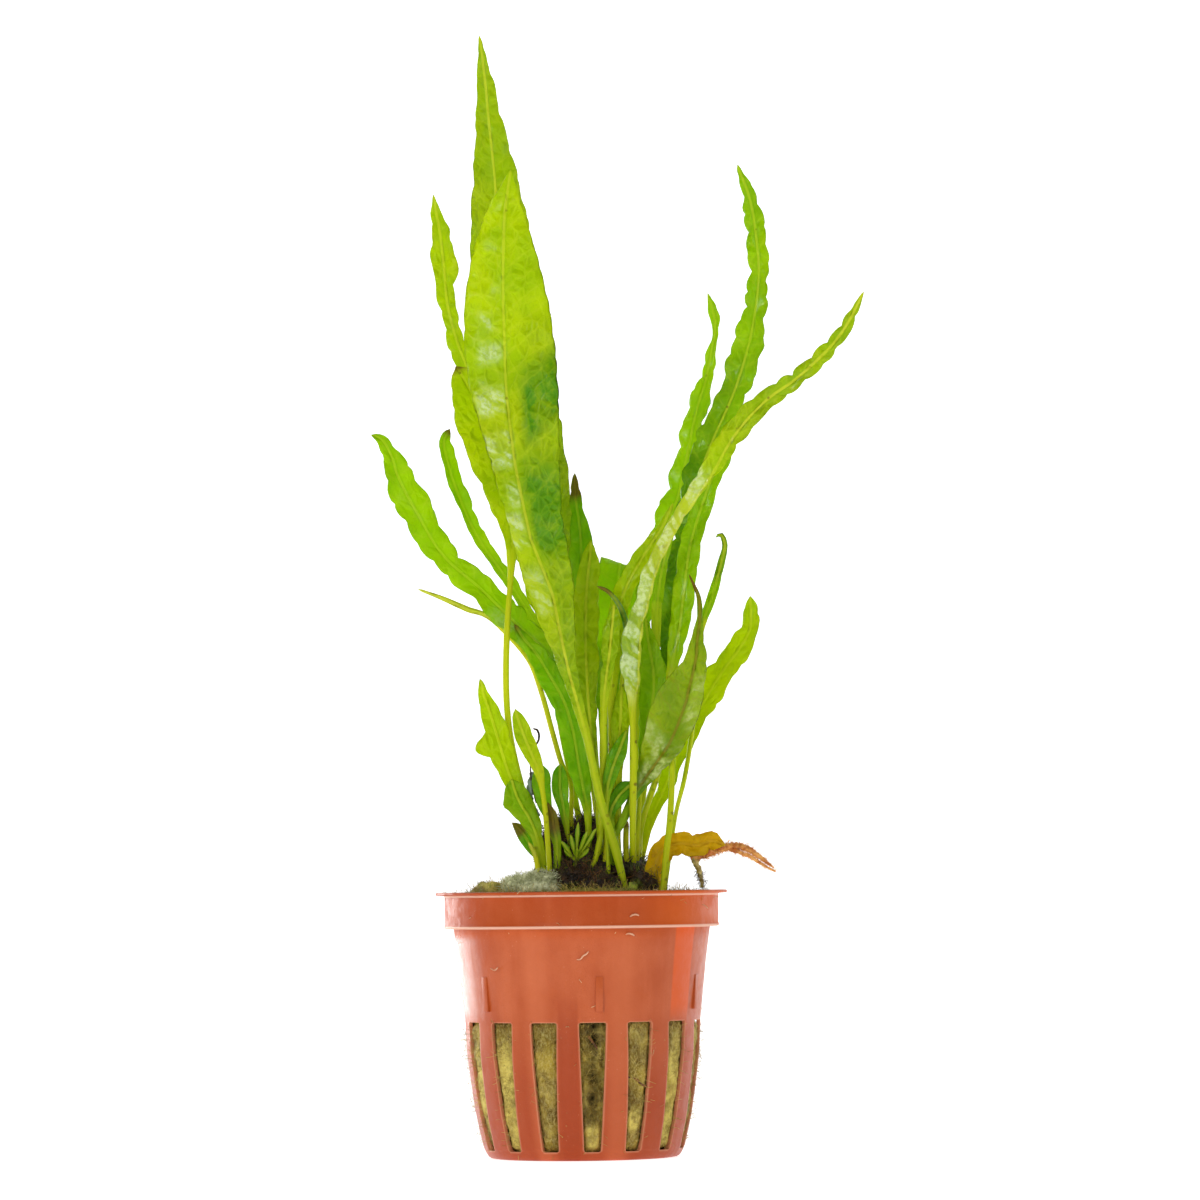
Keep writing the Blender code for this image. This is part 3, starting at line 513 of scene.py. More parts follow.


# In this table, shaded patches are painted shade and silvery ones painted sheen.
FERN_LEAVES = (
    Leaf("leaf_front_broad", Tone.BRIGHT, (8.6, -9.0), (
        (6.8, -9.6, 56.5, 1.6), (3.9, -10.8, 66.5, 1.7), (1.4, -11.8, 78.8, 1.7), (-2.1, -13.0, 92.4, 3.8),
        (-5.1, -14.0, 106.7, 8.9), (-7.8, -15.0, 119.6, 10.3), (-9.8, -16.0, 132.6, 13.6),
        (-11.7, -16.6, 146.3, 16.8), (-12.8, -17.0, 160.5, 15.6), (-12.8, -17.0, 175.0, 8.6),
        (-11.5, -16.4, 184.9, 0.4),
    ), turn=-8, fold=-8, lobe=0.28, ruffle=0.3, pitch=4.2, rib=(
        (0.3, 0.0), (0.42, 0.05), (0.5, -0.3), (0.6, -0.3), (0.68, -0.2), (0.77, -0.08), (0.9, 0.0),
    ), shaded=(
        Patch(0.6, 0.715, 0.3, 1.4, 1.0, 0.05, 0.3, 0.04), Patch(0.46, 0.61, 0.1, 1.5, 0.95, 0.06, 0.3),
        Patch(0.3, 0.47, 0.1, 1.5, 0.62, 0.06), Patch(0.72, 0.8, 0.45, 1.0, 0.3),
        Patch(0.0, 0.36, strength=0.6),
    ), painted_sheen_patches=(
        Patch(0.783, 0.807, -0.6, -0.25, 0.8, 0.012, 0.15),
        Patch(0.743, 0.765, -0.6, -0.05, 0.85, 0.012, 0.15),
        Patch(0.674, 0.706, -0.7, -0.05, 1.0, 0.012, 0.15),
        Patch(0.602, 0.648, -0.75, -0.05, 1.0, 0.012, 0.15),
        Patch(0.548, 0.578, -0.4, -0.05, 0.8, 0.012, 0.15),
        Patch(0.493, 0.538, -0.85, -0.15, 0.9, 0.012, 0.15),
        Patch(0.4, 0.46, -0.8, -0.1, 0.6, 0.02),
    ), petiole=1.0),
    Leaf("leaf_back_tall", Tone.BRIGHT, (4.2, 5.2), (
        (1.9, 7.0, 75.2, 1.6), (-0.4, 8.0, 88.0, 3.0), (-2.6, 9.0, 102.0, 7.5), (-7.0, 11.0, 125.1, 11.3),
        (-10.7, 12.5, 144.3, 13.2), (-13.0, 13.5, 163.6, 13.6), (-14.5, 14.2, 177.0, 11.4),
        (-15.3, 14.7, 188.7, 8.2), (-16.1, 15.0, 197.4, 5.3), (-16.8, 15.0, 206.0, 3.2),
        (-17.7, 15.0, 214.6, 0.3),
    ), turn=24, fold=10, lobe=0.22, ruffle=0.3, pitch=4.0, shaded=(
        Patch(strength=0.34), Patch(0.2, 0.55, strength=0.55, soft_along=0.1),
    )),
    Leaf("leaf_left_tall", Tone.FRESH, (2.4, 3.2), (
        (0.6, 3.4, 70.0, 1.5), (-2.7, 4.2, 86.5, 2.4), (-8.9, 4.6, 113.0, 6.0), (-14.5, 4.4, 134.0, 6.8),
        (-19.3, 4.8, 146.4, 5.4), (-22.3, 5.0, 154.1, 3.6), (-24.2, 5.2, 161.6, 3.1),
        (-24.8, 5.2, 168.5, 4.6), (-25.4, 5.0, 174.5, 3.9), (-26.1, 4.6, 179.0, 2.2),
        (-26.6, 4.2, 182.8, 0.3),
    ), turn=24, fold=14, lobe=0.4, ruffle=0.5, pitch=4.0, shaded=(Patch(strength=0.12),)),
    Leaf("leaf_left_wide", Tone.FRESH, (-6.6, -2.4), (
        (-10.9, -3.9, 69.5, 1.2), (-12.9, -4.8, 78.7, 1.2), (-13.6, -5.6, 86.5, 1.2),
        (-13.4, -6.3, 98.1, 1.2), (-12.4, -7.1, 111.2, 1.5), (-12.3, -7.8, 118.5, 4.6),
        (-13.2, -8.2, 125.5, 9.0), (-14.6, -8.6, 132.5, 12.0), (-16.8, -8.6, 138.4, 12.0),
        (-19.8, -8.0, 144.2, 8.0), (-22.4, -7.0, 149.0, 1.6),
    ), turn=16, fold=12, ruffle=0.5, withered=0.014),
    Leaf("leaf_left_curled", Tone.GREEN, (1.2, 1.3), (
        (-1.0, 1.7, 67.6, 1.1), (-3.1, 1.5, 78.9, 1.1), (-6.3, 1.1, 95.9, 1.3), (-9.0, 0.9, 101.6, 2.0),
        (-13.6, 0.8, 109.2, 2.4), (-18.6, 0.0, 116.4, 2.4), (-22.5, -0.6, 125.0, 2.8),
        (-24.6, -1.0, 131.8, 2.9), (-25.1, -1.2, 135.4, 2.2), (-23.8, -1.2, 137.6, 1.4),
    ), turn=35, fold=30, lobe=0.3, ruffle=0.3, withered=0.015),
    Leaf("leaf_left_long", Tone.GREEN, (4.6, -0.8), (
        (3.1, -1.1, 67.6, 1.4), (-0.8, -1.8, 82.7, 2.2), (-6.0, -2.5, 94.6, 5.0), (-11.6, -3.0, 100.2, 5.8),
        (-18.4, -4.0, 107.0, 5.0), (-25.4, -5.0, 113.4, 5.0), (-30.4, -6.0, 121.8, 6.6),
        (-33.6, -6.8, 128.1, 6.0), (-34.9, -7.2, 132.3, 3.4), (-36.5, -7.4, 135.1, 2.4),
        (-38.5, -7.4, 136.2, 1.2),
    ), turn=24, fold=10, lobe=0.55, ruffle=0.5, pitch=4.4, shaded=(
        Patch(0.1, 0.46, strength=0.35, soft_along=0.1),
    ), painted_sheen_patches=(Patch(0.44, 0.56, -0.9, 0.1, 0.45, 0.04),)),
    Leaf("leaf_left_inner", Tone.MIDDLE, (1.5, -4.2), (
        (1.4, -4.5, 64.7, 1.6), (0.7, -4.8, 68.5, 3.0), (-0.3, -5.2, 74.2, 4.6), (-1.2, -5.6, 79.9, 5.2),
        (-2.8, -5.9, 85.5, 5.0), (-5.2, -6.0, 90.0, 4.8), (-8.0, -5.8, 94.7, 3.6), (-10.4, -5.2, 97.7, 2.4),
        (-12.0, -4.7, 100.4, 0.4),
    ), turn=8, withered=0.03, petiole=0.9),
    Leaf("leaf_thin_pale", Tone.STALK, (-1.2, -1.9), (
        (-1.8, -2.2, 63.4, 1.0), (-1.7, -2.5, 70.0, 1.0), (-3.4, -2.6, 74.0, 1.0), (-5.0, -2.4, 79.7, 1.0),
        (-7.1, -1.6, 87.6, 1.0), (-9.2, -0.6, 93.3, 0.9), (-12.9, 0.0, 98.1, 0.9), (-17.3, -0.4, 102.2, 1.0),
        (-20.8, -1.0, 103.4, 1.1), (-25.3, -1.8, 105.4, 0.9), (-30.2, -2.4, 107.3, 0.4),
    ), fold=0, lobe=0.1, ruffle=0.1),
    Leaf("leaf_brown_tipped", Tone.MIDDLE, (4.4, 2.7), (
        (2.4, 3.5, 82.7, 1.6), (1.2, 4.0, 97.0, 4.2), (0.9, 4.4, 110.0, 5.4), (0.8, 4.6, 116.6, 4.4),
        (0.4, 4.8, 121.0, 2.8), (-0.2, 5.0, 125.0, 2.4), (-0.3, 5.0, 129.4, 0.4),
    ), turn=-24, fold=12, withered=0.07),
    Leaf("leaf_centre_upright", Tone.FRESH, (3.9, -3.1), (
        (2.9, -3.0, 71.3, 1.3), (1.9, -2.9, 82.7, 2.8), (1.4, -2.8, 92.9, 4.6), (1.4, -2.8, 102.2, 5.0),
        (1.8, -3.0, 108.8, 4.6), (2.3, -3.2, 112.9, 3.2), (2.6, -3.4, 116.1, 0.3),
    ), turn=18, fold=12, shaded=(Patch(0.0, 0.6, strength=0.5, soft_along=0.1),), petiole=0.9),
    Leaf("leaf_centre_front", Tone.BRIGHT, (2.1, -6.7), (
        (3.1, -7.0, 57.2, 1.1), (3.8, -7.3, 60.9, 1.2), (4.2, -7.8, 70.2, 1.2), (4.4, -8.1, 75.5, 1.3),
        (4.7, -8.6, 84.6, 1.5), (5.3, -8.8, 90.2, 2.4), (6.0, -9.1, 95.0, 3.2), (6.5, -9.3, 99.7, 3.2),
        (6.9, -9.4, 103.7, 0.8),
    ), turn=-18, fold=10, shaded=(Patch(strength=0.45),), petiole=0.8),
    Leaf("leaf_hooked_dark", Tone.DARK, (6.8, -2.4), (
        (7.4, -3.0, 70.0, 1.1), (8.0, -4.6, 86.5, 1.1), (9.1, -6.2, 96.6, 1.2), (8.8, -6.7, 101.0, 1.2),
        (7.4, -6.8, 104.2, 1.0), (5.7, -6.8, 106.2, 0.8), (3.6, -6.8, 107.2, 0.6),
    ), fold=10, lobe=0.15, ruffle=0.15, withered=0.06, painted_sheen_patches=(Patch(0.78, 0.95, strength=0.6),)),
    Leaf("leaf_slanting", Tone.BRIGHT, (5.5, -4.5), (
        (6.0, -4.5, 76.0, 1.3), (6.2, -4.4, 86.5, 1.7), (7.1, -4.2, 95.9, 3.0), (7.6, -4.2, 101.6, 3.7),
        (9.1, -4.5, 106.7, 3.9), (11.8, -5.1, 111.6, 3.7), (14.0, -5.7, 115.0, 2.8), (16.3, -6.4, 118.5, 2.0),
        (18.2, -7.0, 122.7, 0.4),
    ), turn=-18, fold=10, shaded=(Patch(0.0, 0.45, strength=0.5, soft_along=0.1),)),
    Leaf("leaf_right_long", Tone.BRIGHT, (9.9, -4.2), (
        (9.8, -6.2, 58.4, 1.2), (9.9, -7.7, 66.0, 1.3), (10.1, -7.8, 75.6, 1.4), (10.1, -7.8, 81.4, 1.3),
        (10.0, -7.9, 86.1, 1.9), (10.0, -8.0, 89.5, 3.2), (9.9, -8.5, 93.2, 3.9), (10.1, -9.0, 97.0, 3.7),
        (11.2, -9.4, 100.7, 3.2), (12.4, -10.0, 104.8, 2.7), (13.3, -10.8, 108.5, 2.8),
        (14.9, -11.4, 112.2, 2.4), (16.8, -12.0, 115.8, 2.3), (18.9, -12.6, 119.5, 2.3),
        (21.4, -13.4, 123.2, 2.5), (24.2, -14.2, 127.2, 3.2), (27.2, -15.0, 131.6, 4.2),
        (30.8, -15.8, 136.4, 4.5), (36.2, -17.2, 141.4, 3.8), (41.0, -18.2, 144.6, 3.4),
        (45.1, -19.2, 148.1, 3.2), (48.6, -20.0, 151.6, 2.8), (51.4, -20.7, 155.7, 2.2),
        (54.0, -21.4, 160.8, 0.3),
    ), turn=-16, fold=14, lobe=0.55, ruffle=0.5, pitch=4.4, rib=(
        (0.15, 0.0), (0.26, 0.8), (0.56, 0.88), (0.62, 0.6), (0.68, 0.2), (0.78, 0.0),
    ), shaded=(
        Patch(0.68, 1.1, -2.0, 2.0, 0.45, 0.08), Patch(0.3, 0.56, -3.0, -0.6, 0.45, 0.05),
        Patch(0.0, 0.24, strength=0.45),
    ), painted_sheen_patches=(Patch(0.25, 0.63, -3.0, 0.1, 1.0, 0.03),)),
    Leaf("leaf_right_tall", Tone.GREEN, (15.2, -9.3), (
        (16.1, -8.9, 57.5, 1.2), (16.7, -8.6, 62.1, 1.2), (17.4, -4.7, 74.2, 1.2), (17.1, -2.7, 88.0, 2.2),
        (17.5, -0.7, 97.8, 4.6), (18.6, 0.9, 106.8, 5.6), (20.9, 1.5, 117.0, 5.4), (23.4, 2.8, 128.0, 6.2),
        (26.3, 4.0, 135.6, 6.6), (30.0, 4.8, 143.7, 5.6), (32.7, 5.2, 151.6, 6.4), (34.3, 5.6, 158.6, 4.9),
        (35.3, 5.8, 166.8, 4.0), (34.9, 6.0, 174.0, 4.0), (33.8, 6.0, 181.2, 3.1), (31.4, 6.0, 188.0, 0.5),
    ), turn=-22, fold=12, lobe=0.55, ruffle=0.5, pitch=3.6, shaded=(
        Patch(0.2, 0.61, -2.0, 2.0, 0.9, 0.05), Patch(0.6, 0.74, -2.0, 0.2, 0.5),
        Patch(0.52, 1.1, -2.0, 2.0, 0.15),
    )),
    Leaf("leaf_right_narrow", Tone.GREEN, (9.4, 3.6), (
        (10.6, 5.5, 67.7, 1.3), (11.5, 7.0, 86.7, 1.5), (13.4, 9.0, 105.8, 4.0), (16.4, 10.2, 117.5, 4.8),
        (19.3, 11.0, 124.5, 5.4), (20.8, 11.6, 130.6, 4.8), (22.5, 12.2, 138.4, 4.4),
        (23.7, 12.6, 143.0, 4.2), (25.0, 13.0, 147.0, 3.0), (26.1, 13.4, 152.4, 1.9),
        (27.0, 13.8, 157.0, 1.3), (26.7, 14.0, 160.6, 2.0), (25.5, 14.0, 164.3, 0.3),
    ), turn=-28, fold=12, lobe=0.5, ruffle=0.5, pitch=3.8),
    Leaf("leaf_right_rounded", Tone.GREEN, (10.2, -0.6), (
        (11.8, -1.4, 63.6, 1.2), (14.4, -3.2, 71.2, 1.2), (16.4, -5.8, 79.9, 1.2), (17.0, -6.5, 88.4, 1.4),
        (17.9, -6.4, 93.4, 2.6), (18.9, -6.2, 97.8, 3.8), (20.0, -5.6, 105.4, 4.4), (21.2, -4.9, 113.8, 4.2),
        (23.2, -4.3, 120.8, 4.0), (26.0, -3.8, 128.2, 3.8), (28.2, -3.5, 132.2, 3.0),
        (28.9, -3.3, 134.4, 1.4),
    ), turn=-14, fold=10, withered=0.03),
    Leaf("leaf_right_edge_on", Tone.GREEN, (10.9, 1.1), (
        (11.4, 1.4, 63.6, 1.1), (12.9, 1.0, 75.1, 1.1), (14.4, -1.2, 88.4, 1.3), (14.6, -2.9, 97.0, 1.7),
        (15.1, -3.5, 106.1, 2.2), (16.4, -3.8, 112.7, 1.8), (19.0, -4.2, 121.0, 0.3),
    ), turn=30, fold=10, lobe=0.2, ruffle=0.3),
    Leaf("leaf_right_shaded", Tone.GREEN, (10.4, -2.4), (
        (11.6, -3.2, 71.3, 1.3), (13.1, -4.0, 80.5, 4.0), (14.1, -4.4, 87.7, 5.4), (14.0, -4.5, 92.0, 4.9),
        (13.3, -4.6, 96.4, 3.4), (12.7, -4.8, 101.4, 0.5),
    ), turn=-8, ruffle=0.2),
    Leaf("leaf_right_low", Tone.BRIGHT, (11.0, 3.1), (
        (12.9, 3.6, 62.3, 1.8), (15.3, 4.0, 67.6, 2.8), (17.4, 4.6, 72.3, 3.5), (20.8, 5.7, 79.9, 4.2),
        (23.8, 6.5, 85.6, 5.4), (27.1, 7.2, 90.8, 5.4), (30.4, 7.9, 95.2, 4.9), (32.7, 8.5, 99.1, 4.0),
        (33.0, 8.9, 102.8, 3.0), (32.8, 9.1, 105.8, 0.8),
    ), turn=-28, fold=10, lobe=0.4, ruffle=0.4),
    Leaf("leaf_right_hooked", Tone.GREEN, (15.4, 0.6), (
        (18.1, 0.8, 64.7, 0.8), (19.7, 1.0, 70.8, 0.9), (21.1, 1.4, 78.7, 0.9), (22.2, 1.9, 88.4, 1.0),
        (23.1, 2.4, 98.9, 1.4), (25.4, 2.7, 105.4, 1.8), (27.3, 3.0, 112.0, 1.4), (28.0, 3.0, 115.4, 1.1),
        (27.2, 3.0, 117.2, 0.9), (26.2, 3.0, 116.6, 0.6),
    ), fold=16, lobe=0.2, ruffle=0.2, shaded=(Patch(0.86, 1.0),)),
    Leaf("leaf_olive_front", Tone.OLIVE, (5.9, -6.3), (
        (6.4, -7.0, 60.2, 1.4), (7.8, -7.1, 62.8, 1.6), (9.1, -6.3, 65.5, 1.7), (10.2, -5.0, 68.0, 2.0),
        (12.1, -5.0, 71.2, 3.4), (14.2, -7.0, 74.9, 6.2), (15.6, -8.6, 77.7, 7.6), (17.2, -9.8, 81.6, 9.0),
        (19.1, -10.8, 86.4, 8.6), (20.8, -11.4, 89.8, 6.2), (21.9, -12.0, 92.8, 4.6),
        (22.3, -12.6, 97.0, 2.5), (22.8, -12.8, 100.6, 1.3), (22.6, -12.8, 104.6, 0.9),
        (20.9, -12.2, 109.0, 0.3),
    ), turn=10, fold=5, lobe=0.3, ruffle=0.35, withered=0.06, rib=(
        (0.2, 0.0), (0.3, 0.1), (0.45, 0.32), (0.6, 0.3), (0.72, 0.0),
    ), shaded=(Patch(0.16, 0.3, 0.1, 1.3, 0.9, 0.03),), painted_sheen_patches=(
        Patch(0.28, 0.42, 0.05, 0.95, 0.9, 0.03, slant=0.06),
        Patch(0.26, 0.44, -0.7, -0.05, 0.85, 0.03, slant=0.06),
        Patch(0.4, 0.5, -1.6, -0.85, 0.6, 0.03), Patch(0.52, 0.68, 0.2, 1.3, 0.7, 0.03),
    )),
    Leaf("leaf_bent_back", Tone.GREEN, (4.9, 7.2), (
        (6.0, 10.0, 78.9, 4.4), (6.4, 12.0, 90.2, 7.6), (7.0, 13.5, 101.6, 8.6), (7.6, 15.0, 108.4, 8.2),
        (8.0, 17.6, 112.4, 7.6), (8.2, 21.0, 112.0, 7.0), (8.4, 23.6, 107.0, 5.0), (8.5, 24.6, 101.0, 0.6),
    ), turn=14, fold=6, shaded=(Patch(-0.1, 0.6, strength=0.6),)),
    Leaf("leaf_lobed_low", Tone.BRIGHT, (-7.6, -4.9), (
        (-8.6, -5.1, 61.9, 1.6), (-11.1, -5.9, 67.6, 2.8), (-13.2, -6.4, 71.8, 3.8), (-15.2, -7.0, 78.3, 5.0),
        (-16.7, -7.5, 83.5, 3.7), (-17.8, -7.9, 86.8, 2.4), (-18.5, -8.1, 90.1, 0.5),
    ), turn=20, side_lobes=((0.71, -1, 2.6),)),
    Leaf("leaf_stub_low", Tone.GREEN, (-6.0, -6.6), (
        (-8.2, -7.2, 60.2, 2.4), (-9.6, -7.8, 63.8, 4.0), (-11.3, -8.2, 66.7, 5.0), (-12.3, -8.7, 69.1, 4.3),
        (-12.8, -8.8, 71.2, 2.0),
    ), turn=14, fold=6, side_lobes=((0.84, -1, 0.9),), shaded=(Patch(strength=0.45),)),
    Leaf("leaf_spoon_low", Tone.BRIGHT, (-5.6, -8.4), (
        (-6.3, -9.2, 61.9, 1.0), (-6.6, -9.6, 65.7, 1.0), (-7.1, -10.0, 69.5, 1.1), (-7.8, -10.4, 73.2, 2.3),
        (-9.4, -10.8, 77.1, 3.3), (-10.8, -11.2, 80.8, 3.3), (-11.9, -11.5, 84.2, 1.2),
    ), turn=-16, fold=10, lobe=0.15, ruffle=0.2),
    Leaf("leaflet_left", Tone.DARK, (-3.3, -4.8), (
        (-5.1, -5.8, 60.4, 1.2), (-5.9, -6.3, 63.8, 2.1), (-6.8, -6.6, 67.0, 2.9), (-7.2, -6.9, 70.2, 3.8),
        (-7.2, -7.0, 72.1, 3.2), (-7.3, -7.1, 74.0, 1.0),
    ), turn=10, lobe=0.2, ruffle=0.2, petiole=0.4),
    Leaf("leaflet_middle", Tone.DARK, (-2.5, -4.2), (
        (-2.4, -4.4, 59.4, 0.9), (-2.6, -4.7, 62.3, 1.2), (-3.1, -5.0, 65.7, 2.3), (-3.7, -5.3, 69.4, 3.2),
        (-3.7, -5.5, 71.9, 2.9), (-3.6, -5.6, 74.0, 1.2),
    ), turn=-10, lobe=0.2, ruffle=0.2, petiole=0.4),
    Leaf("leaflet_brown_tip", Tone.DARK, (-4.9, -7.5), (
        (-4.4, -7.5, 59.1, 1.6), (-5.0, -7.7, 61.9, 2.3), (-5.3, -7.9, 64.3, 1.9), (-6.1, -8.0, 66.8, 0.4),
    ), lobe=0.1, ruffle=0.1, withered=0.35, petiole=0.3),
    Leaf("leaf_fuzzy_grey", Tone.DARK, (-7.2, 0.4), (
        (-8.0, 0.5, 56.3, 1.3), (-9.2, 0.6, 58.2, 2.2), (-10.5, 0.8, 60.5, 2.8), (-11.8, 1.0, 62.1, 1.8),
        (-13.0, 1.0, 63.1, 0.5),
    ), lobe=0.1, ruffle=0.1, withered=0.3, petiole=0.3),
    Leaf("stalk_short_left", Tone.STALK, (-7.4, -7.2), (
        (-8.6, -9.0, 57.0, 0.9), (-9.8, -9.5, 59.4, 0.8),
    ), lobe=0, ruffle=0),
    Leaf("stalk_short_right", Tone.STALK, (8.7, -5.0), (
        (8.5, -5.0, 59.0, 1.1), (8.7, -4.8, 63.4, 1.0),
    ), lobe=0, ruffle=0, withered=0.2),
    Leaf("stalk_short_centre", Tone.STALK, (4.6, -5.9), (
        (4.9, -6.0, 62.0, 1.0), (4.9, -6.0, 67.6, 0.8),
    ), lobe=0, ruffle=0, withered=0.1),
    Leaf("leaf_inner_bright", Tone.BRIGHT, (7.2, -5.2), (
        (6.9, -5.6, 66.0, 1.1), (7.3, -5.8, 75.0, 2.2), (7.8, -5.8, 82.0, 3.6), (8.1, -5.8, 88.4, 1.0),
    ), lobe=0.2, ruffle=0.2, petiole=0.9),
    Leaf("leaf_inner_dark", Tone.DARK, (5.2, -8.3), (
        (5.1, -8.5, 56.0, 0.8), (4.9, -8.9, 62.0, 0.8), (4.9, -9.2, 66.0, 1.0), (5.2, -9.0, 69.4, 2.0),
        (6.2, -8.6, 73.0, 3.0), (7.6, -8.2, 76.6, 3.0), (9.0, -7.2, 80.2, 0.6),
    ), lobe=0.2, ruffle=0.2, petiole=0.5, shaded=(Patch(strength=0.5),)),
    Leaf("leaf_inner_low", Tone.DARK, (7.4, -7.9), (
        (7.2, -8.1, 57.4, 0.9), (6.2, -8.3, 60.8, 0.9), (5.5, -7.7, 63.2, 1.4), (6.0, -7.5, 65.5, 2.7),
        (7.2, -7.3, 67.6, 3.2), (8.7, -6.7, 69.1, 3.2), (10.3, -6.4, 70.4, 0.8),
    ), lobe=0.3, ruffle=0.2, petiole=0.5, shaded=(Patch(strength=0.9),)),
    Leaf("decayed_leaf", Tone.DECAYED, (14.0, -7.2), (
        (13.9, -7.2, 54.0, 4.0), (15.4, -7.0, 57.4, 4.6), (18.4, -6.8, 58.7, 4.6), (21.8, -6.4, 58.3, 4.4),
        (24.7, -6.0, 59.1, 3.8), (27.3, -5.8, 58.3, 0.8),
    ), turn=6, fold=12, lobe=0.6, ruffle=0.9, pitch=2.9),
)


def placed(name: str, data: bpy.types.ID) -> Piece:
    """Puts a new object with that mesh, light or camera in the scene."""
    made = bpy.data.objects.new(name, data)
    bpy.context.scene.collection.objects.link(made)
    return made


def as_mesh(name: str, points: Rows, faces: Iterable[Sequence[int]]) -> Piece:
    """Makes an object in the scene, with its faces turned outwards.

    Args:
        name: the name of the object and its mesh.
        points: its points, in millimetres.
        faces: its faces, as the numbers of their points.

    Returns:
        The object.
    """
    mesh = bpy.data.meshes.new(name)
    mesh.from_pydata(np.array(points) * MM, [], list(faces))
    shape = bmesh.new()
    shape.from_mesh(mesh)
    bmesh.ops.recalc_face_normals(shape, faces=shape.faces)
    shape.to_mesh(mesh)
    shape.free()
    mesh.shade_smooth()
    return placed(name, mesh)


def dress(piece: Piece, material: Material, slot: str, *nodes: str) -> Piece:
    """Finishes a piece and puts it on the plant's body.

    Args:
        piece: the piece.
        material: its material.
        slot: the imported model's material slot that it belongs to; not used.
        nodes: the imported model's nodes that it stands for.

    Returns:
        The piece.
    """
    piece.data.materials.clear()
    piece.data.materials.append(material)
    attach(piece, ROOT_BODY)
    if nodes:
        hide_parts(*nodes)
    log.info("%s: %d faces", piece.name, len(piece.data.polygons))
    return piece


def tube_faces(rows: int, columns: int, first: int = 0) -> list[list[int]]:
    """The faces of a closed tube, whose points are stored one ring after another.

    Args:
        rows: the number of rings.
        columns: the points in a ring.
        first: the number of its first point.

    Returns:
        The quads between the rings, and a face on each end.
    """
    faces = []
    for low in range(first, first + (rows - 1) * columns, columns):
        high = low + columns
        for column in range(columns):
            following = (column + 1) % columns
            faces.append([low + column, low + following, high + following, high + column])
    last = first + (rows - 1) * columns
    return [*faces, list(range(first, first + columns)), list(range(last, last + columns))]


def smooth_path(rows: Rows, spacing: float, samples: int = 16) -> np.ndarray:
    """Lays a smooth curve through rows whose first three values are a place.

    Args:
        rows: the rows to pass through.
        spacing: the distance between two rows of the result.
        samples: how finely the curve is followed between two given rows.

    Returns:
        Evenly spaced rows on the curve, four or more.
    """
    rows = np.array(rows, float)
    steps = np.sqrt(np.linalg.norm(np.diff(rows[:, :3], axis=0), axis=1))
    knots = np.concatenate([[0], np.cumsum(steps)])
    slopes = np.gradient(rows, knots, axis=0)
    dense = []
    for index in range(len(rows) - 1):
        step = knots[index + 1] - knots[index]
        for t in np.linspace(0, 1, samples, endpoint=False):
            dense.append(
                (2 * t**3 - 3 * t**2 + 1) * rows[index] + (t**3 - 2 * t**2 + t) * step * slopes[index]
                + (3 * t**2 - 2 * t**3) * rows[index + 1] + (t**3 - t**2) * step * slopes[index + 1]
            )
    dense = np.array(dense + [rows[-1]])
    along = np.concatenate([[0], np.cumsum(np.linalg.norm(np.diff(dense[:, :3], axis=0), axis=1))])
    stations = np.linspace(0, along[-1], max(4, round(along[-1] / spacing) + 1))
    return np.array([np.interp(stations, along, column) for column in dense.T]).T


def frames_along(places: np.ndarray, turn: float) -> list[tuple[np.ndarray, np.ndarray]]:
    """Carries a direction along a path without twisting it.

    Args:
        places: the places on the path.
        turn: how far the direction is turned from the front, in radians.

    Returns:
        For each place, the way that the face looks and the way across it.
    """
    found = []
    face = np.array((0.0, -1.0, 0.0))
    for direction in np.gradient(places, axis=0):
        direction = direction / np.linalg.norm(direction)
        face = face - face.dot(direction) * direction
        face = face / np.linalg.norm(face)
        across = np.cross(direction, face)
        turned = cos(turn) * face + sin(turn) * across
        found.append((turned, np.cross(direction, turned)))
    return found


@dataclass
class Ground:
    """What the plant stands on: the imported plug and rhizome."""

    nodes: tuple[str, ...] = ("rock_wool_plug", "rhizome")
    trees: list[BVHTree] = field(default_factory=list)

    def __post_init__(self) -> None:
        """Reads the nodes' meshes."""
        for name in self.nodes:
            shape = bmesh.new()
            shape.from_mesh(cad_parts[name].data)
            self.trees.append(BVHTree.FromBMesh(shape))
            shape.free()

    def height(self, x: float, y: float) -> float:
        """The highest point under a place, in millimetres."""
        down = [tree.ray_cast(Vector((x, y, 100)) * MM, Vector((0, 0, -1)))[0] for tree in self.trees]
        return max(hit.z / MM for hit in down if hit)


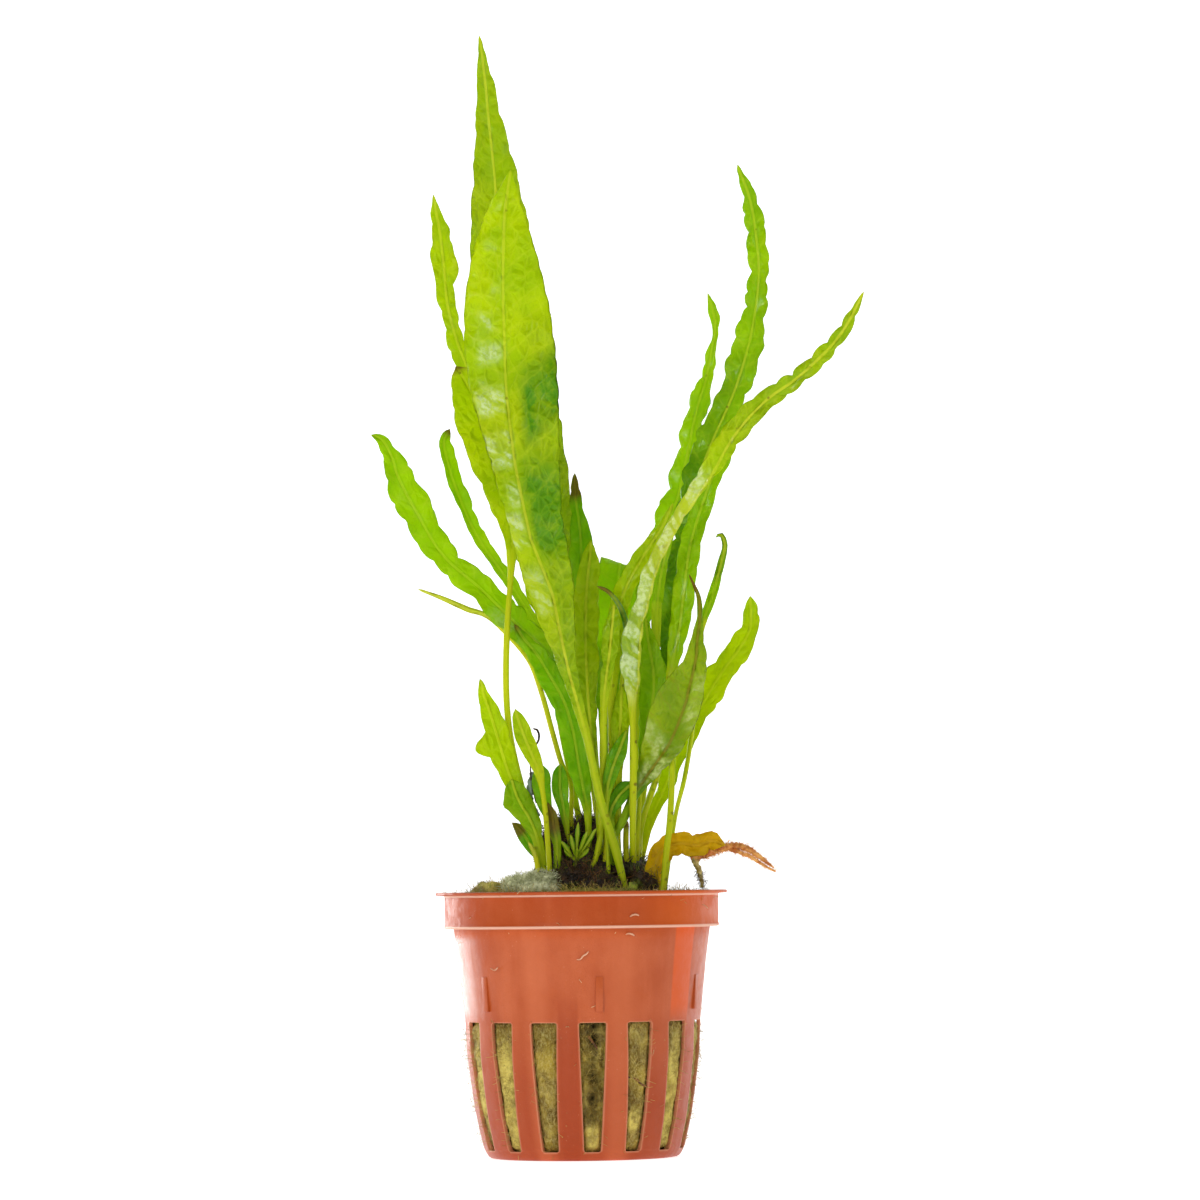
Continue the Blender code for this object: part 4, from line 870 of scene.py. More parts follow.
@dataclass
class FernLeaf:
    """The fine mesh of one leaf: a closed blade with a midrib, a notched, waving margin and a stalk.

    blade_half and stalk_half are half of each one's thickness, and sunk and foot_width how deep
    and wide the stalk stands in the ground. From the widths notch_full, rib_full and ruffle_full
    on, notches, midrib and waves are whole. A stalk turns into a blade over stalk_fade of width,
    and past the share all_blade of the length it is one in any case.
    """

    design: Leaf
    ground: Ground
    seed: int
    spacing: float = 0.7
    half_columns: int = 9
    blade_half: float = 0.17
    stalk_half: float = 0.6
    rib_rise: float = 0.28
    rib_width: float = 0.45
    sunk: float = 0.9
    foot_width: float = 1.1
    quilt: float = 0.09
    quilt_pitch: float = 2.9
    notch_full: float = 3.0
    rib_full: float = 4.0
    ruffle_full: float = 5.0
    stalk_fade: float = 1.8
    all_blade: float = 0.75
    lobe_reach: float = 0.05
    least_width: float = 0.25
    wither_soft: float = 0.35

    def build(self) -> None:
        """Builds and dresses the leaf, which stands for its node."""
        finish = self.design.tone.value
        dress(self.mesh(), finish.material(), finish.slot, self.design.name)

    def rows(self) -> np.ndarray:
        """The stations on the midrib, from inside the rhizome to the tip.

        Returns:
            Each station as x, y, z and width.
        """
        if self.design.root is None:
            return smooth_path(self.design.spine, self.spacing)
        x, y = self.design.root
        foot = (x, y, self.ground.height(x, y) - self.sunk, self.foot_width)
        return smooth_path((foot, *self.design.spine), self.spacing)

    def margin(self, side: int, place: float) -> float:
        """How far the margin is notched.

        Args:
            side: -1 for the left margin and 1 for the right one.
            place: how far along the leaf, in millimetres.

        Returns:
            The depth, as a share of the leaf's notches.
        """
        key = Vector((place * 0.13, side * 3.1, self.seed * 7.7))
        warped = place / self.design.pitch + 0.55 * noise.noise(key) + 0.37 * side
        depth = 1.0 + 0.9 * noise.noise(key * 2.3)
        return depth * (1 - abs(sin(pi * warped)) ** 0.6)

    def ruffle(self, side: float, place: float) -> float:
        """How far the blade waves out of its plane.

        Args:
            side: the place across, from -1 at the left margin to 1 at the right one.
            place: how far along the leaf, in millimetres.

        Returns:
            The rise, as a share of the leaf's waves.
        """
        wave = sin(2 * pi * place / (self.design.pitch * 2.1) + (1.3 if side < 0 else 0) + self.seed)
        slow = noise.noise(Vector((place * 0.05, side, self.seed * 3.3)))
        return abs(side) ** 1.6 * (1.3 * wave + 1.6 * slow)

    def rib_offset(self, share: float) -> float:
        """How far the midrib lies off the middle at a share of the length, in half widths."""
        places, offsets = zip(*self.design.rib)
        return float(np.interp(share, places, offsets))

    def side_lobe(self, side: int, share: float) -> float:
        """What the side lobes add to the half width.

        Args:
            side: -1 for the left half and 1 for the right one.
            share: the place along, as a share of the length.

        Returns:
            The width to add, in millimetres.
        """
        return sum(
            size * max(0.0, 1 - ((share - place) / self.lobe_reach) ** 2) ** 0.8
            for place, which, size in self.design.side_lobes if which == side
        )

    def stalk_share(self, width: float, place: float, length: float) -> float:
        """How far the leaf is a stalk.

        Args:
            width: its width there.
            place: how far along it is, in millimetres.
            length: the leaf's length.

        Returns:
            1 for a stalk, falling to 0 for a blade.
        """
        if place > length * self.all_blade:
            return 0.0
        return held(1 - (width - self.design.petiole) / self.stalk_fade)

    def section(self, width: float, place: float, length: float) -> list[Place]:
        """One cross-section.

        Args:
            width: the blade's width there.
            place: how far along the leaf it is, in millimetres.
            length: the leaf's length.

        Returns:
            Points round the section, as the offset across, the rise to the face and the distance
            from the midrib.
        """
        design = self.design
        stalk = self.stalk_share(width, place, length)
        blade = 1 - stalk
        tip_round = 0.5 * design.spine[-1][3] + 0.6
        width *= held((length - place) / tip_round) ** 0.5
        half_thick = min(width / 2, self.blade_half + (self.stalk_half - self.blade_half) * stalk)
        rise = tan(radians(design.fold))
        rib_place = self.rib_offset(place / length) * width / 2
        points = []
        count = 2 * self.half_columns
        for index in range(2 * count):
            angle = pi * index / count
            turned = angle if index <= count else 2 * pi - angle
            u = -0.5 * cos(angle) - 0.5 * (1 - 2 * turned / pi)
            side = -1 if u < 0 else 1
            notch = design.lobe * self.margin(side, place) * blade * min(1.0, width / self.notch_full)
            half = width / 2 - notch + self.side_lobe(side, place / length)
            offset = u * half
            face = 1 if index < count else -1
            plump = abs(sin(angle)) ** (0.5 + 0.5 * stalk)
            off_rib = offset - rib_place
            rib = self.rib_rise * max(0.0, 1 - abs(off_rib) / self.rib_width)
            rib = rib * blade * min(1, width / self.rib_full)
            thick = face * (half_thick * plump + rib * (0.6 if face > 0 else 1.0))
            wave = design.ruffle * self.ruffle(u, place) * blade * min(1, width / self.ruffle_full)
            bend = abs(off_rib) * rise * blade + wave
            swelling = sin(2 * pi * (place - 0.9 * abs(offset)) / self.quilt_pitch)
            points.append((offset, thick + bend + self.quilt * blade * abs(u) * swelling, off_rib))
        return points

    def withered(self, place: float, length: float) -> float:
        """How far the tissue is dead at a place along the leaf.

        Args:
            place: how far along the leaf, in millimetres.
            length: the leaf's length.

        Returns:
            0 for living and 1 for dead tissue.
        """
        share = self.design.withered
        if not share:
            return 0.0
        return held((place - length * (1 - share)) / (self.wither_soft * length * share) + 0.5)

    def mesh(self) -> Piece:
        """The leaf's mesh, with what its material reads.

        Returns:
            The leaf, still bare.
        """
        design = self.design
        turn = radians(design.turn)
        rows = self.rows()
        lengths = np.linalg.norm(np.diff(rows[:, :3], axis=0), axis=1)
        places = np.concatenate([[0], np.cumsum(lengths)])
        length = places[-1]
        points, uv = [], []
        measures = {name: [] for name in ("along", "stalk", "wither", "shade", "silver")}
        for row, place, (face, side) in zip(rows, places, frames_along(rows[:, :3], turn)):
            width = max(row[3], self.least_width) / cos(turn)
            section = self.section(width, place, length)
            for offset, rise, off_rib in section:
                points.append(row[:3] + offset * side + rise * face)
                uv.append((off_rib, place))
                # Painted shade and painted sheen at each point, from the leaf's patches.
                for name, patches in (("shade", design.shaded), ("silver", design.painted_sheen_patches)):
                    strengths = [patch.share(place / length, 2 * off_rib / width) for patch in patches]
                    measures[name].append(max(strengths, default=0.0))
            measures["along"] += [place / length] * len(section)
            measures["stalk"] += [self.stalk_share(width, place, length)] * len(section)
            measures["wither"] += [self.withered(place, length)] * len(section)
        piece = as_mesh(design.name + "_fine", points, tube_faces(len(rows), 4 * self.half_columns))
        mesh = piece.data
        layer = mesh.uv_layers.new(name="blade")
        corners = np.empty(len(mesh.loops), np.int32)
        mesh.loops.foreach_get("vertex_index", corners)
        layer.data.foreach_set("uv", np.array(uv, np.float32)[corners].ravel())
        for name, values in measures.items():
            note(piece, name, values)
        return piece


@dataclass(frozen=True)
class Fibre(Finish):
    """Thin, matt growth: fibres, moss, hairs and roots, in two colours mixed from place to place."""

    light: str
    deep: str
    scale: float = 0.5
    roughness: float = 0.75

    def draw(self, n: Nodes) -> None:
        """Draws the growth.

        Args:
            n: the material's empty tree.
        """
        where = n.place()
        share = n.noise(where, self.scale).step(0.36, 0.64)
        n.surface(n.add("ShaderNodeBsdfPrincipled", values={
            "Base Color": n.blend(share, colour(self.deep), colour(self.light)),
            "Roughness": self.roughness - 0.2 * n.noise(where, self.scale * 3),
            "Normal": n.bump(n.noise(where, 4), 0.06),
        }))


class Growths(Enum):
    """The finishes of what grows or clings in strands."""

    WOOL = Fibre("wool_fibre", "#CCB45C", "#84681C", 0.22)
    MOSS = Fibre("grey_moss", "#F0F2C8", "#B0B484", 0.6)
    GREEN_MOSS = Fibre("green_moss", "#94A41E", "#4E5C0C", 0.6)
    DARK_ROOT = Fibre("dark_root", "#4A2F16", "#1C1209", 0.5)
    BROWN_ROOT = Fibre("brown_root", "#8A5A26", "#4A2C10", 0.5)
    ORANGE_ROOT = Fibre("orange_root", "#F0B45C", "#C06A1E", 0.7, 0.5)
    PALE_ROOT = Fibre("pale_root", "#D6C474", "#8F7A30", 0.7, 0.55)
    PALE_FIBRE = Fibre("pale_fibre", "#E3CE9C", "#C49A66", 0.8)
    CLEAR_SCRAP = Fibre("clear_scrap", "#D8A684", "#BC7A54", 0.35)
    GREY_FILM = Fibre("grey_film", "#7E8F7C", "#46543F", 0.7, 0.5)


@dataclass(frozen=True)
class Growth:
    """Strands scattered over a piece by Geometry Nodes.

    density is in strands per square millimetre, length and radius are in millimetres, lean is
    0 for upright strands and 3 for ones that lie flat, curl bends them, and where names the
    number on the piece that says how thickly they grow. The shortest strands have the share
    shortest of the length. Each has that many segments and sides, is bowed at bow of its
    height and loses the share taper of its radius towards its end.
    """

    name: str
    finish: Growths
    slot: str
    density: float
    length: float
    radius: float
    lean: float
    curl: float
    seed: int
    where: str = "thick"
    shortest: float = 0.45
    segments: int = 4
    sides: int = 3
    bow: float = 0.6
    taper: float = 0.7

    def tree(self) -> tuple[bpy.types.NodeTree, dict[str, str]]:
        """Builds the tree.

        Returns:
            The tree, and the identifier of each named input.
        """
        tree = bpy.data.node_groups.new(self.name, "GeometryNodeTree")
        n = Nodes(tree)
        face = tree.interface
        face.new_socket("Geometry", in_out="INPUT", socket_type="NodeSocketGeometry")
        identifiers = {
            size: face.new_socket(size, in_out="INPUT", socket_type="NodeSocketFloat").identifier
            for size in ("Density", "Length", "Radius", "Lean", "Curl")
        }
        face.new_socket("Geometry", in_out="OUTPUT", socket_type="NodeSocketGeometry")
        group = tree.nodes.new("NodeGroupInput")
        given = {socket.name: Signal(n, socket) for socket in group.outputs}
        thick = n.add("GeometryNodeInputNamedAttribute", {"data_type": "FLOAT"}, {"Name": self.where})
        points = n.add(
            "GeometryNodeDistributePointsOnFaces", {"distribute_method": "RANDOM"},
            {"Mesh": given["Geometry"], "Density": given["Density"] * thick, "Seed": self.seed},
        )
        end = n.add("ShaderNodeCombineXYZ", values={"X": given["Curl"], "Z": 1.0})
        curve = n.add("GeometryNodeCurveQuadraticBezier", values={
            "Resolution": self.segments, "Start": (0, 0, 0), "Middle": (0, 0, self.bow), "End": end,
        })
        thinner = 1 - self.taper * n.add("GeometryNodeSplineParameter")
        curve = n.add("GeometryNodeSetCurveRadius", values={"Curve": curve, "Radius": thinner})
        profile = n.add("GeometryNodeCurvePrimitiveCircle", values={
            "Resolution": self.sides, "Radius": given["Radius"] / given["Length"],
        })
        strand = n.add("GeometryNodeCurveToMesh", values={
            "Curve": curve, "Profile Curve": profile, "Fill Caps": True,
        })
        chance = {"data_type": "FLOAT_VECTOR"}
        any_way = n.add("FunctionNodeRandomValue", chance, {0: (-1, -1, -1), 1: (1, 1, 1), "Seed": self.seed})
        leaned = n.add("ShaderNodeVectorMath", {"operation": "SCALE"}, {0: any_way, "Scale": given["Lean"]})
        way = n.add("ShaderNodeVectorMath", {"operation": "ADD"}, {0: points.other("Normal"), 1: leaned})
        aligned = n.add("FunctionNodeAlignRotationToVector", {"axis": "Z"}, {"Vector": way})
        chance = {"data_type": "FLOAT"}
        spin = n.add("FunctionNodeRandomValue", chance, {3: 2 * pi, "Seed": self.seed + 1}, 1)
        spun = n.add("FunctionNodeAxisAngleToRotation", values={"Axis": (0, 0, 1), "Angle": spin})
        turned = n.add(
            "FunctionNodeRotateRotation", {"rotation_space": "LOCAL"},
            {"Rotation": aligned, "Rotate By": spun},
        )
        size = n.add(
            "FunctionNodeRandomValue", chance, {2: self.shortest, 3: 1.0, "Seed": self.seed + 2}, 1,
        )
        strands = n.add("GeometryNodeInstanceOnPoints", values={
            "Points": points, "Instance": strand, "Rotation": turned, "Scale": size * given["Length"],
        })
        solid = n.add("GeometryNodeRealizeInstances", values={"Geometry": strands})
        dressed = n.add("GeometryNodeSetMaterial", values={
            "Geometry": solid, "Material": self.finish.value.material(),
        })
        out = tree.nodes.new("NodeGroupOutput")
        tree.links.new(dressed.socket, out.inputs[0])
        return tree, identifiers

    def grow(self, source: Piece) -> None:
        """Grows the strands and dresses them as a piece of their own.

        Args:
            source: the piece that they grow on.
        """
        tree, identifiers = self.tree()
        change = source.modifiers.new(self.name, "NODES")
        change.node_group = tree
        sizes = {
            "Density": self.density / MM**2, "Length": self.length * MM, "Radius": self.radius * MM,
            "Lean": self.lean, "Curl": self.curl,
        }
        for name, size in sizes.items():
            change[identifiers[name]] = size
        mesh = plain_mesh(source, self.name)
        source.modifiers.remove(change)
        mesh.shade_smooth()
        dress(placed(self.name, mesh), self.finish.value.material(), self.slot)


def plain_mesh(item: Piece, name: str) -> bpy.types.Mesh:
    """Makes a plain mesh of an object with its modifiers applied.

    Args:
        item: the object, which stays as it is.
        name: the mesh's name.

    Returns:
        The mesh.
    """
    graph = bpy.context.evaluated_depsgraph_get()
    mesh = bpy.data.meshes.new_from_object(item.evaluated_get(graph), depsgraph=graph)
    mesh.name = name
    return mesh


def settled(item: Piece) -> Piece:
    """Applies an object's modifiers.

    Args:
        item: the object.

    Returns:
        The same object.
    """
    mesh = plain_mesh(item, item.name)
    item.modifiers.clear()
    item.data = mesh
    return item


def merged(name: str, pieces: list[Piece]) -> Piece:
    """Joins objects into the first one.

    Args:
        name: the name of the joined object.
        pieces: the objects.

    Returns:
        The joined object.
    """
    first = pieces[0]
    if len(pieces) > 1:
        with bpy.context.temp_override(
            active_object=first, object=first, selected_objects=pieces, selected_editable_objects=pieces,
        ):
            bpy.ops.object.join()
    first.name = name
    first.data.name = name
    return first


def note(piece: Piece, name: str, values: Sequence[float]) -> None:
    """Writes one number for each point of a piece."""
    piece.data.attributes.new(name, "FLOAT", "POINT").data.foreach_set("value", values)


def tube(rows: Rows, spacing: float, sides: int, rough: float) -> tuple[list, list]:
    """A closed tube along a path.

    Args:
        rows: places on the path as x, y, z and width.
        spacing: the distance between two rings.
        sides: the points in a ring.
        rough: how far the surface wanders, as a share of the radius.

    Returns:
        Its points and faces.
    """
    path = smooth_path(rows, spacing)
    points = []
    for row, (face, side) in zip(path, frames_along(path[:, :3], 0)):
        for index in range(sides):
            angle = 2 * pi * index / sides
            out = cos(angle) * side + sin(angle) * face
            radius = row[3] / 2 * (1 + rough * noise.noise(Vector(row[:3] + out) * 2.1))
            points.append(row[:3] + out * radius)
    return points, tube_faces(len(path), sides)


@dataclass(frozen=True)
class Plastic(Finish):
    """Moulded terracotta plastic, glossy and lightly clouded, brighter on a strip of painted light.

    lit colours a strip of light painted as if it shone through the wall, and warm the collar's
    right part. speck colours the dust and a painted highlight on the slots' edges, and lip a
    painted highlight on the thin edges of the rim. Two pale bands on the wall are painted
    reflections, and a darker band between them painted shade. Bearings are in degrees from the
    front to the right, and heights in millimetres. Two numbers are where a mark starts and
    where it is full, and three are its middle and the distances where it has gone and is full.
    """

    name: str = "terracotta_plastic"
    base: str = "#AE4A18"
    deep: str = "#9C3600"
    pale: str = "#C8663A"
    # lit is painted light, as if it shone through the wall on a strip.
    lit: str = "#D25200"
    warm: str = "#CC5A12"
    # speck colours the dust and also a painted highlight on the slots' edges.
    dust_and_edge_highlight: str = "#DE9C78"
    # lip is a painted highlight on the rim's thin edges.
    lip_highlight: str = "#F2CDB4"
    low: Pair = (30, 10)
    # Two pale bands of painted reflection on the wall, and a darker band of painted shade between them.
    painted_reflections: Rows = ((-22, 9, 2), (19, 11, 2))
    below_collar: Pair = (44, 41)
    painted_dark_band: Place = (-7, 5.5, 4.0)
    painted_dark_band_top: Pair = (34, 24)
    collar: Pair = (43, 44)
    warm_side: Pair = (18, 50)
    warm_bottom: Pair = (43.2, 43.8)
    # Where the strip of painted light lies.
    lit_bearing: float = 54.0
    lit_half: float = 7.0
    lit_bottom: float = 27.5
    lit_top: Pair = (43.4, 43.0)
    # Where the painted highlights on the rim's thin edges lie.
    lip_highlight_rows: Rows = ((43.35, 0.36, 0.14), (49.2, 0.26, 0.08))
    glare: Place = (-70, 20, 11)
    glare_bottom: Pair = (25.5, 28.5)
    glare_top: Pair = (42.5, 40.5)
    roughness: float = 0.42
    specular: float = 0.16
    coat: float = 0.03
    wall_coat: float = 0.25
    glare_coat: float = 0.95
    coat_roughness: float = 0.2

    def draw(self, n: Nodes) -> None:
        """Draws the plastic.

        Args:
            n: the material's empty tree.
        """
        where = n.place()
        x = n.add("ShaderNodeSeparateXYZ", values={0: where}, output="X")
        bearing = n.add("ShaderNodeMath", {"operation": "ARCTAN2"}, {0: x, 1: 0 - x.other("Y")}) * (180 / pi)
        height = x.other("Z")
        grain = n.noise(where, 5.5, 2)
        wall = height.step(*self.glare_top)
        glare = self.mark(bearing, self.glare) * height.step(*self.glare_bottom) * wall
        glare = glare * (0.6 + 0.4 * n.noise(n.place((1.0, 1.0, 0.3)), 0.3, 3).step(0.36, 0.5))
        n.surface(n.add("ShaderNodeBsdfPrincipled", values={
            "Base Color": self.colours(n, where, bearing, height, grain),
            "Roughness": self.roughness + 0.18 * n.noise(where, 0.4, 3).step(0.4, 0.7),
            "Normal": n.bump(grain, 0.02, n.bump(n.noise(where, 0.7, 3), 0.1)),
            "Specular IOR Level": self.specular,
            "Coat Weight": self.coat + wall * self.wall_coat + glare * self.glare_coat,
            "Coat Roughness": self.coat_roughness,
        }))

    def mark(self, value: Signal, row: Sequence[float]) -> Signal:
        """A soft mark round a value: a row gives its middle, and the distances where it ends and is full."""
        return abs(value - row[0]).step(row[1], row[2])

    def colours(self, n: Nodes, where: Signal, bearing: Signal, height: Signal, grain: Signal) -> Signal:
        """Lays the plastic's colours over each other.

        Args:
            n: the material's tree.
            where: the place on the pot.
            bearing: its bearing.
            height: its height.
            grain: the plastic's grain.

        Returns:
            The colour.
        """
        clouds = n.noise(where, 0.11, 3).step(0.35, 0.7)
        bands = n.noise(n.place((1.0, 1.0, 0.06)), 0.2, 3).step(0.4, 0.64)
        # The two bands of painted reflection.
        painted_reflections = self.mark(bearing, self.painted_reflections[0]) + self.mark(bearing, self.painted_reflections[1])
        # The strip of painted light, on the wall's right.
        strip = abs(bearing - self.lit_bearing).step(self.lit_half + 0.8, self.lit_half - 0.8)
        strip = strip * height.step(self.lit_bottom - 3, self.lit_bottom + 2) * height.step(*self.lit_top)
        specks = n.cells(where, 1.3, "F1").step(0.12, 0.06) * n.noise(where, 0.22).step(0.54, 0.64)
        return n.layers(
            n.blend(clouds * 0.35 + bands * 0.3, colour(self.base), colour(self.pale)),
            (height.step(*self.low) * 0.7, self.deep),
            (grain.step(0.5, 0.75) * 0.35, self.deep),
            # painted reflections, and a darker band of painted shade
            (painted_reflections * height.step(*self.below_collar) * 0.5, self.pale),
            (self.mark(bearing, self.painted_dark_band) * height.step(*self.painted_dark_band_top) * 0.6, self.deep),
            (height.step(*self.collar) * 0.35, self.deep),
            (bearing.step(*self.warm_side) * height.step(*self.warm_bottom) * 0.7, self.warm),
            # painted light, as if shining through the wall
            (strip * 0.95, self.lit),
            (specks * 0.55, self.dust_and_edge_highlight),
            # painted highlight along the slots' edges
            (n.measure("edge") * 0.5, self.dust_and_edge_highlight),
            # painted highlights on the rim's thin edges
            ((self.mark(height, self.lip_highlight_rows[0]) + self.mark(height, self.lip_highlight_rows[1])) * 0.6, self.lip_highlight),
        )


@dataclass
class NetPot:
    """The slotted pot: a turned wall with a collar and a flange, tapered slots, drains and stacking ribs.

    foot, wall, rim, inside and floor are profiles as radius and height, and bearings and angles
    are in degrees. within is the number of wall columns over a slot, and beside places those
    between two slots. edge_width is how far the painted highlight on a slot's edge reaches.
    """

    foot: Rows = (
        (0.01, 0), (6, 0), (12, 0), (17.0, 0), (17.6, 0.1), (18.0, 0.35), (18.3, 0.8), (18.6, 1.3),
    )
    wall: Rows = (
        (18.2, 0.7), (19.0, 2.2), (20.3, 8.0), (21.2, 14.0), (21.9, 19.5), (22.2, 26.0), (23.4, 37.5),
        (24.2, 43.2),
    )
    rim: Rows = (
        (24.5, 43.2), (25.5, 43.18), (25.8, 43.22), (25.93, 43.38), (25.93, 43.6), (25.82, 43.85),
        (25.78, 44.1), (25.78, 44.6), (25.8, 48.5), (25.8, 49.0), (25.84, 49.2), (25.98, 49.34),
        (26.3, 49.4), (27.2, 49.42), (27.4, 49.46), (27.48, 49.55), (27.5, 49.72), (27.46, 49.9),
        (27.35, 49.98), (27.1, 50.0), (25.5, 50.0), (25.3, 49.97), (25.16, 49.86), (25.1, 49.6),
        (25.1, 45.2), (25.1, 44.8), (24.9, 44.5), (23.7, 43.75),
    )
    inside: Rows = (
        (16.6, 1.0), (18.2, 2.4), (19.6, 8.0), (21.2, 19.5), (21.5, 26.0), (22.7, 37.5), (23.5, 43.6),
    )
    floor: Rows = ((17.0, 1.3), (16.4, 1.0), (11, 1.0), (6, 1.0), (0.01, 1.0))
    slots: int = 15
    slot_first: float = 4.9
    slot_bottom: float = 1.7
    slot_top: float = 25.7
    slot_low_angle: float = 9.6
    slot_high_angle: float = 13.4
    slot_corner: float = 0.4
    slot_radius: float = 21.0
    corner_rows: tuple[float, ...] = (0, 0.06, 0.2, 0.45, 1)
    slot_rows: int = 15
    wall_rows: int = 9
    beside: tuple[float, ...] = (0.0, 0.08, 0.37, 0.63, 0.92)
    within: int = 4
    edge_width: float = 0.25
    drain_count: int = 6
    drain_first: float = 30.0
    drain_half: float = 1.6
    drain_reach: Pair = (7.0, 14.5)
    lug_count: int = 6
    lug_first: float = 8.0
    lug_width: float = 1.4
    lug_bottom: float = 27.8
    lug_top: float = 34.2
    lug_sunk: float = 0.2
    lug_proud: float = 0.5
    lug_top_proud: float = 0.12
    edge: float = 0.09
    edge_angle: float = 38.0
    sharp_angle: float = 50.0
    welded: float = 0.02

    def build(self) -> Piece:
        """Builds and dresses the pot, which stands for its node.

        Returns:
            The pot.
        """
        pot = self.shell()
        self.drain(pot)
        pot = merged("net_pot_fine", [settled(pot), self.lugs()])
        change = pot.modifiers.new("soft_edges", "BEVEL")
        change.width = self.edge * MM
        change.segments = 2
        change.limit_method = "ANGLE"
        change.angle_limit = radians(self.edge_angle)
        settled(pot)
        pot.data.shade_smooth()
        pot.data.set_sharp_from_angle(angle=radians(self.sharp_angle))
        places = np.empty(len(pot.data.vertices) * 3)
        pot.data.vertices.foreach_get("co", places)
        places = places.reshape(-1, 3) / MM
        outside = np.hypot(places[:, 0], places[:, 1]) > self.radius(self.wall, places[:, 2]) - 0.2
        # The edge measure carries a painted highlight along the slots' edges.
        note(pot, "edge", [self.edge_share(*place) for place in places])
        note(pot, "thick", (outside & (places[:, 2] > 3)).astype(float))
        return dress(pot, Plastic().material(), "pot", "net_pot")

    def radius(self, profile: Rows, height: float | np.ndarray) -> float | np.ndarray:
        """A profile's radius at a height."""
        return np.interp(height, [z for _, z in profile], [r for r, _ in profile])

    def off_slot(self, bearing: float) -> float:
        """The angle between a bearing and the middle of the nearest slot."""
        pitch = 360 / self.slots
        return abs((bearing - self.slot_first + pitch / 2) % pitch - pitch / 2)

    def half_slot(self, height: float) -> float:
        """Half a slot's width, which narrows in its rounded corners.

        Args:
            height: the height.

        Returns:
            The width in degrees.
        """
        share = (height - self.slot_bottom) / (self.slot_top - self.slot_bottom)
        half = (self.slot_low_angle + share * (self.slot_high_angle - self.slot_low_angle)) / 2
        end = min(height - self.slot_bottom, self.slot_top - height)
        if 0 <= end < self.slot_corner:
            lost = self.slot_corner - (self.slot_corner**2 - (self.slot_corner - end) ** 2) ** 0.5
            half -= lost * 180 / pi / self.slot_radius
        return half

    def edge_share(self, x: float, y: float, z: float) -> float:
        """How near a place is to the edge of a slot.

        Args:
            x: the place to the right, in millimetres.
            y: the place to the back.
            z: its height.

        Returns:
            1 on the edge, falling to 0 at edge_width from it.
        """
        if not self.slot_bottom - 0.4 < z < self.slot_top + 0.4:
            return 0.0
        off = self.off_slot(atan2(x, -y) * 180 / pi)
        inside = min(max(z, self.slot_bottom), self.slot_top)
        half = self.half_slot(inside)
        side = max(0.0, off - half) if z != inside else abs(off - half)
        side *= pi / 180 * self.radius(self.wall, inside)
        if off < half:
            side = min(side, abs(z - self.slot_bottom), abs(z - self.slot_top))
        return max(0.0, 1 - (side**2 + (z - inside) ** 2) ** 0.5 / self.edge_width)

    def columns(self, height: float) -> list[float]:
        """Where the wall's columns of points stand.

        Args:
            height: the height.

        Returns:
            Their bearings.
        """
        pitch = 360 / self.slots
        half = self.half_slot(min(max(height, self.slot_bottom), self.slot_top))
        near = [-half + 2 * half * i / self.within for i in range(self.within)]
        far = [half + (pitch - 2 * half) * share for share in self.beside]
        return [self.slot_first + pitch * slot + angle for slot in range(self.slots) for angle in near + far]

    def in_slot(self, bearing: float, height: float) -> float:
        """1 for a place in the middle of a slot and 0 outside, with a soft border."""
        side = held((self.half_slot(height) - self.off_slot(bearing)) / 1.6)
        return side * held(min(height - self.slot_bottom, self.slot_top - height) / 1.2)

    def shell(self) -> Piece:
        """Turns the wall, open at its slots, with the floor, the collar and the flange.

        Returns:
            The shell, still bare.
        """
        low, corner = self.slot_bottom, self.slot_corner
        cut = [low + corner * share for share in self.corner_rows]
        cut += list(np.linspace(low + corner, self.slot_top - corner, self.slot_rows)[1:])
        cut += [self.slot_top - corner * share for share in reversed(self.corner_rows[:-1])]
        above = [self.slot_top + self.edge_width]
        above += list(np.linspace(self.slot_top, self.wall[-1][1], self.wall_rows)[1:])
        outer = [(self.radius(self.wall, z), z, z) for z in cut + above]
        inner = [(self.radius(self.inside, z), z, z) for z in reversed(cut + above)]
        rows = [(r, z, low) for r, z in self.foot] + outer + [(r, z, z) for r, z in self.rim]
        rows += inner + [(r, z, low) for r, z in self.floor]
        points = []
        for radius, z, pattern in rows:
            for bearing in self.columns(pattern):
                angle = radians(bearing)
                points.append((radius * sin(angle), -radius * cos(angle), z))
        shell = as_mesh("net_pot_fine", points, self.shell_faces(len(rows), len(cut) - 1))
        shape = bmesh.new()
        shape.from_mesh(shell.data)
        bmesh.ops.remove_doubles(shape, verts=shape.verts, dist=self.welded * MM)
        bmesh.ops.recalc_face_normals(shape, faces=shape.faces)
        shape.to_mesh(shell.data)
        shape.free()
        return shell

    def shell_faces(self, rows: int, spans: int) -> list[Sequence[int]]:
        """The shell's faces, with the sides of its slots.

        Args:
            rows: the rows of points from the foot's middle round to the floor's.
            spans: the spans between rows that a slot is high.

        Returns:
            The faces, as the numbers of their points.
        """
        period = self.within + len(self.beside)
        width = self.slots * period
        first = len(self.foot)
        last = rows - len(self.floor) - 1
        faces: list[Sequence[int]] = []
        for row in range(rows - 1):
            open_row = first <= row < first + spans or last - spans <= row < last
            for column in range(width):
                if open_row and column % period < self.within:
                    continue
                following = (column + 1) % width
                faces.append((
                    row * width + column, row * width + following,
                    (row + 1) * width + following, (row + 1) * width + column,
                ))
        for slot in range(self.slots):
            left, right = slot * period, slot * period + self.within
            loop = [(first, column) for column in range(left, right)]
            loop += [(first + i, right) for i in range(spans)]
            loop += [(first + spans, column) for column in range(right, left, -1)]
            loop += [(first + spans - i, left) for i in range(spans)]
            ring = [row * width + column for row, column in loop]
            mate = [(last - (row - first)) * width + column for row, column in loop]
            for i in range(len(ring)):
                j = (i + 1) % len(ring)
                faces.append((ring[i], ring[j], mate[j], mate[i]))
        return faces

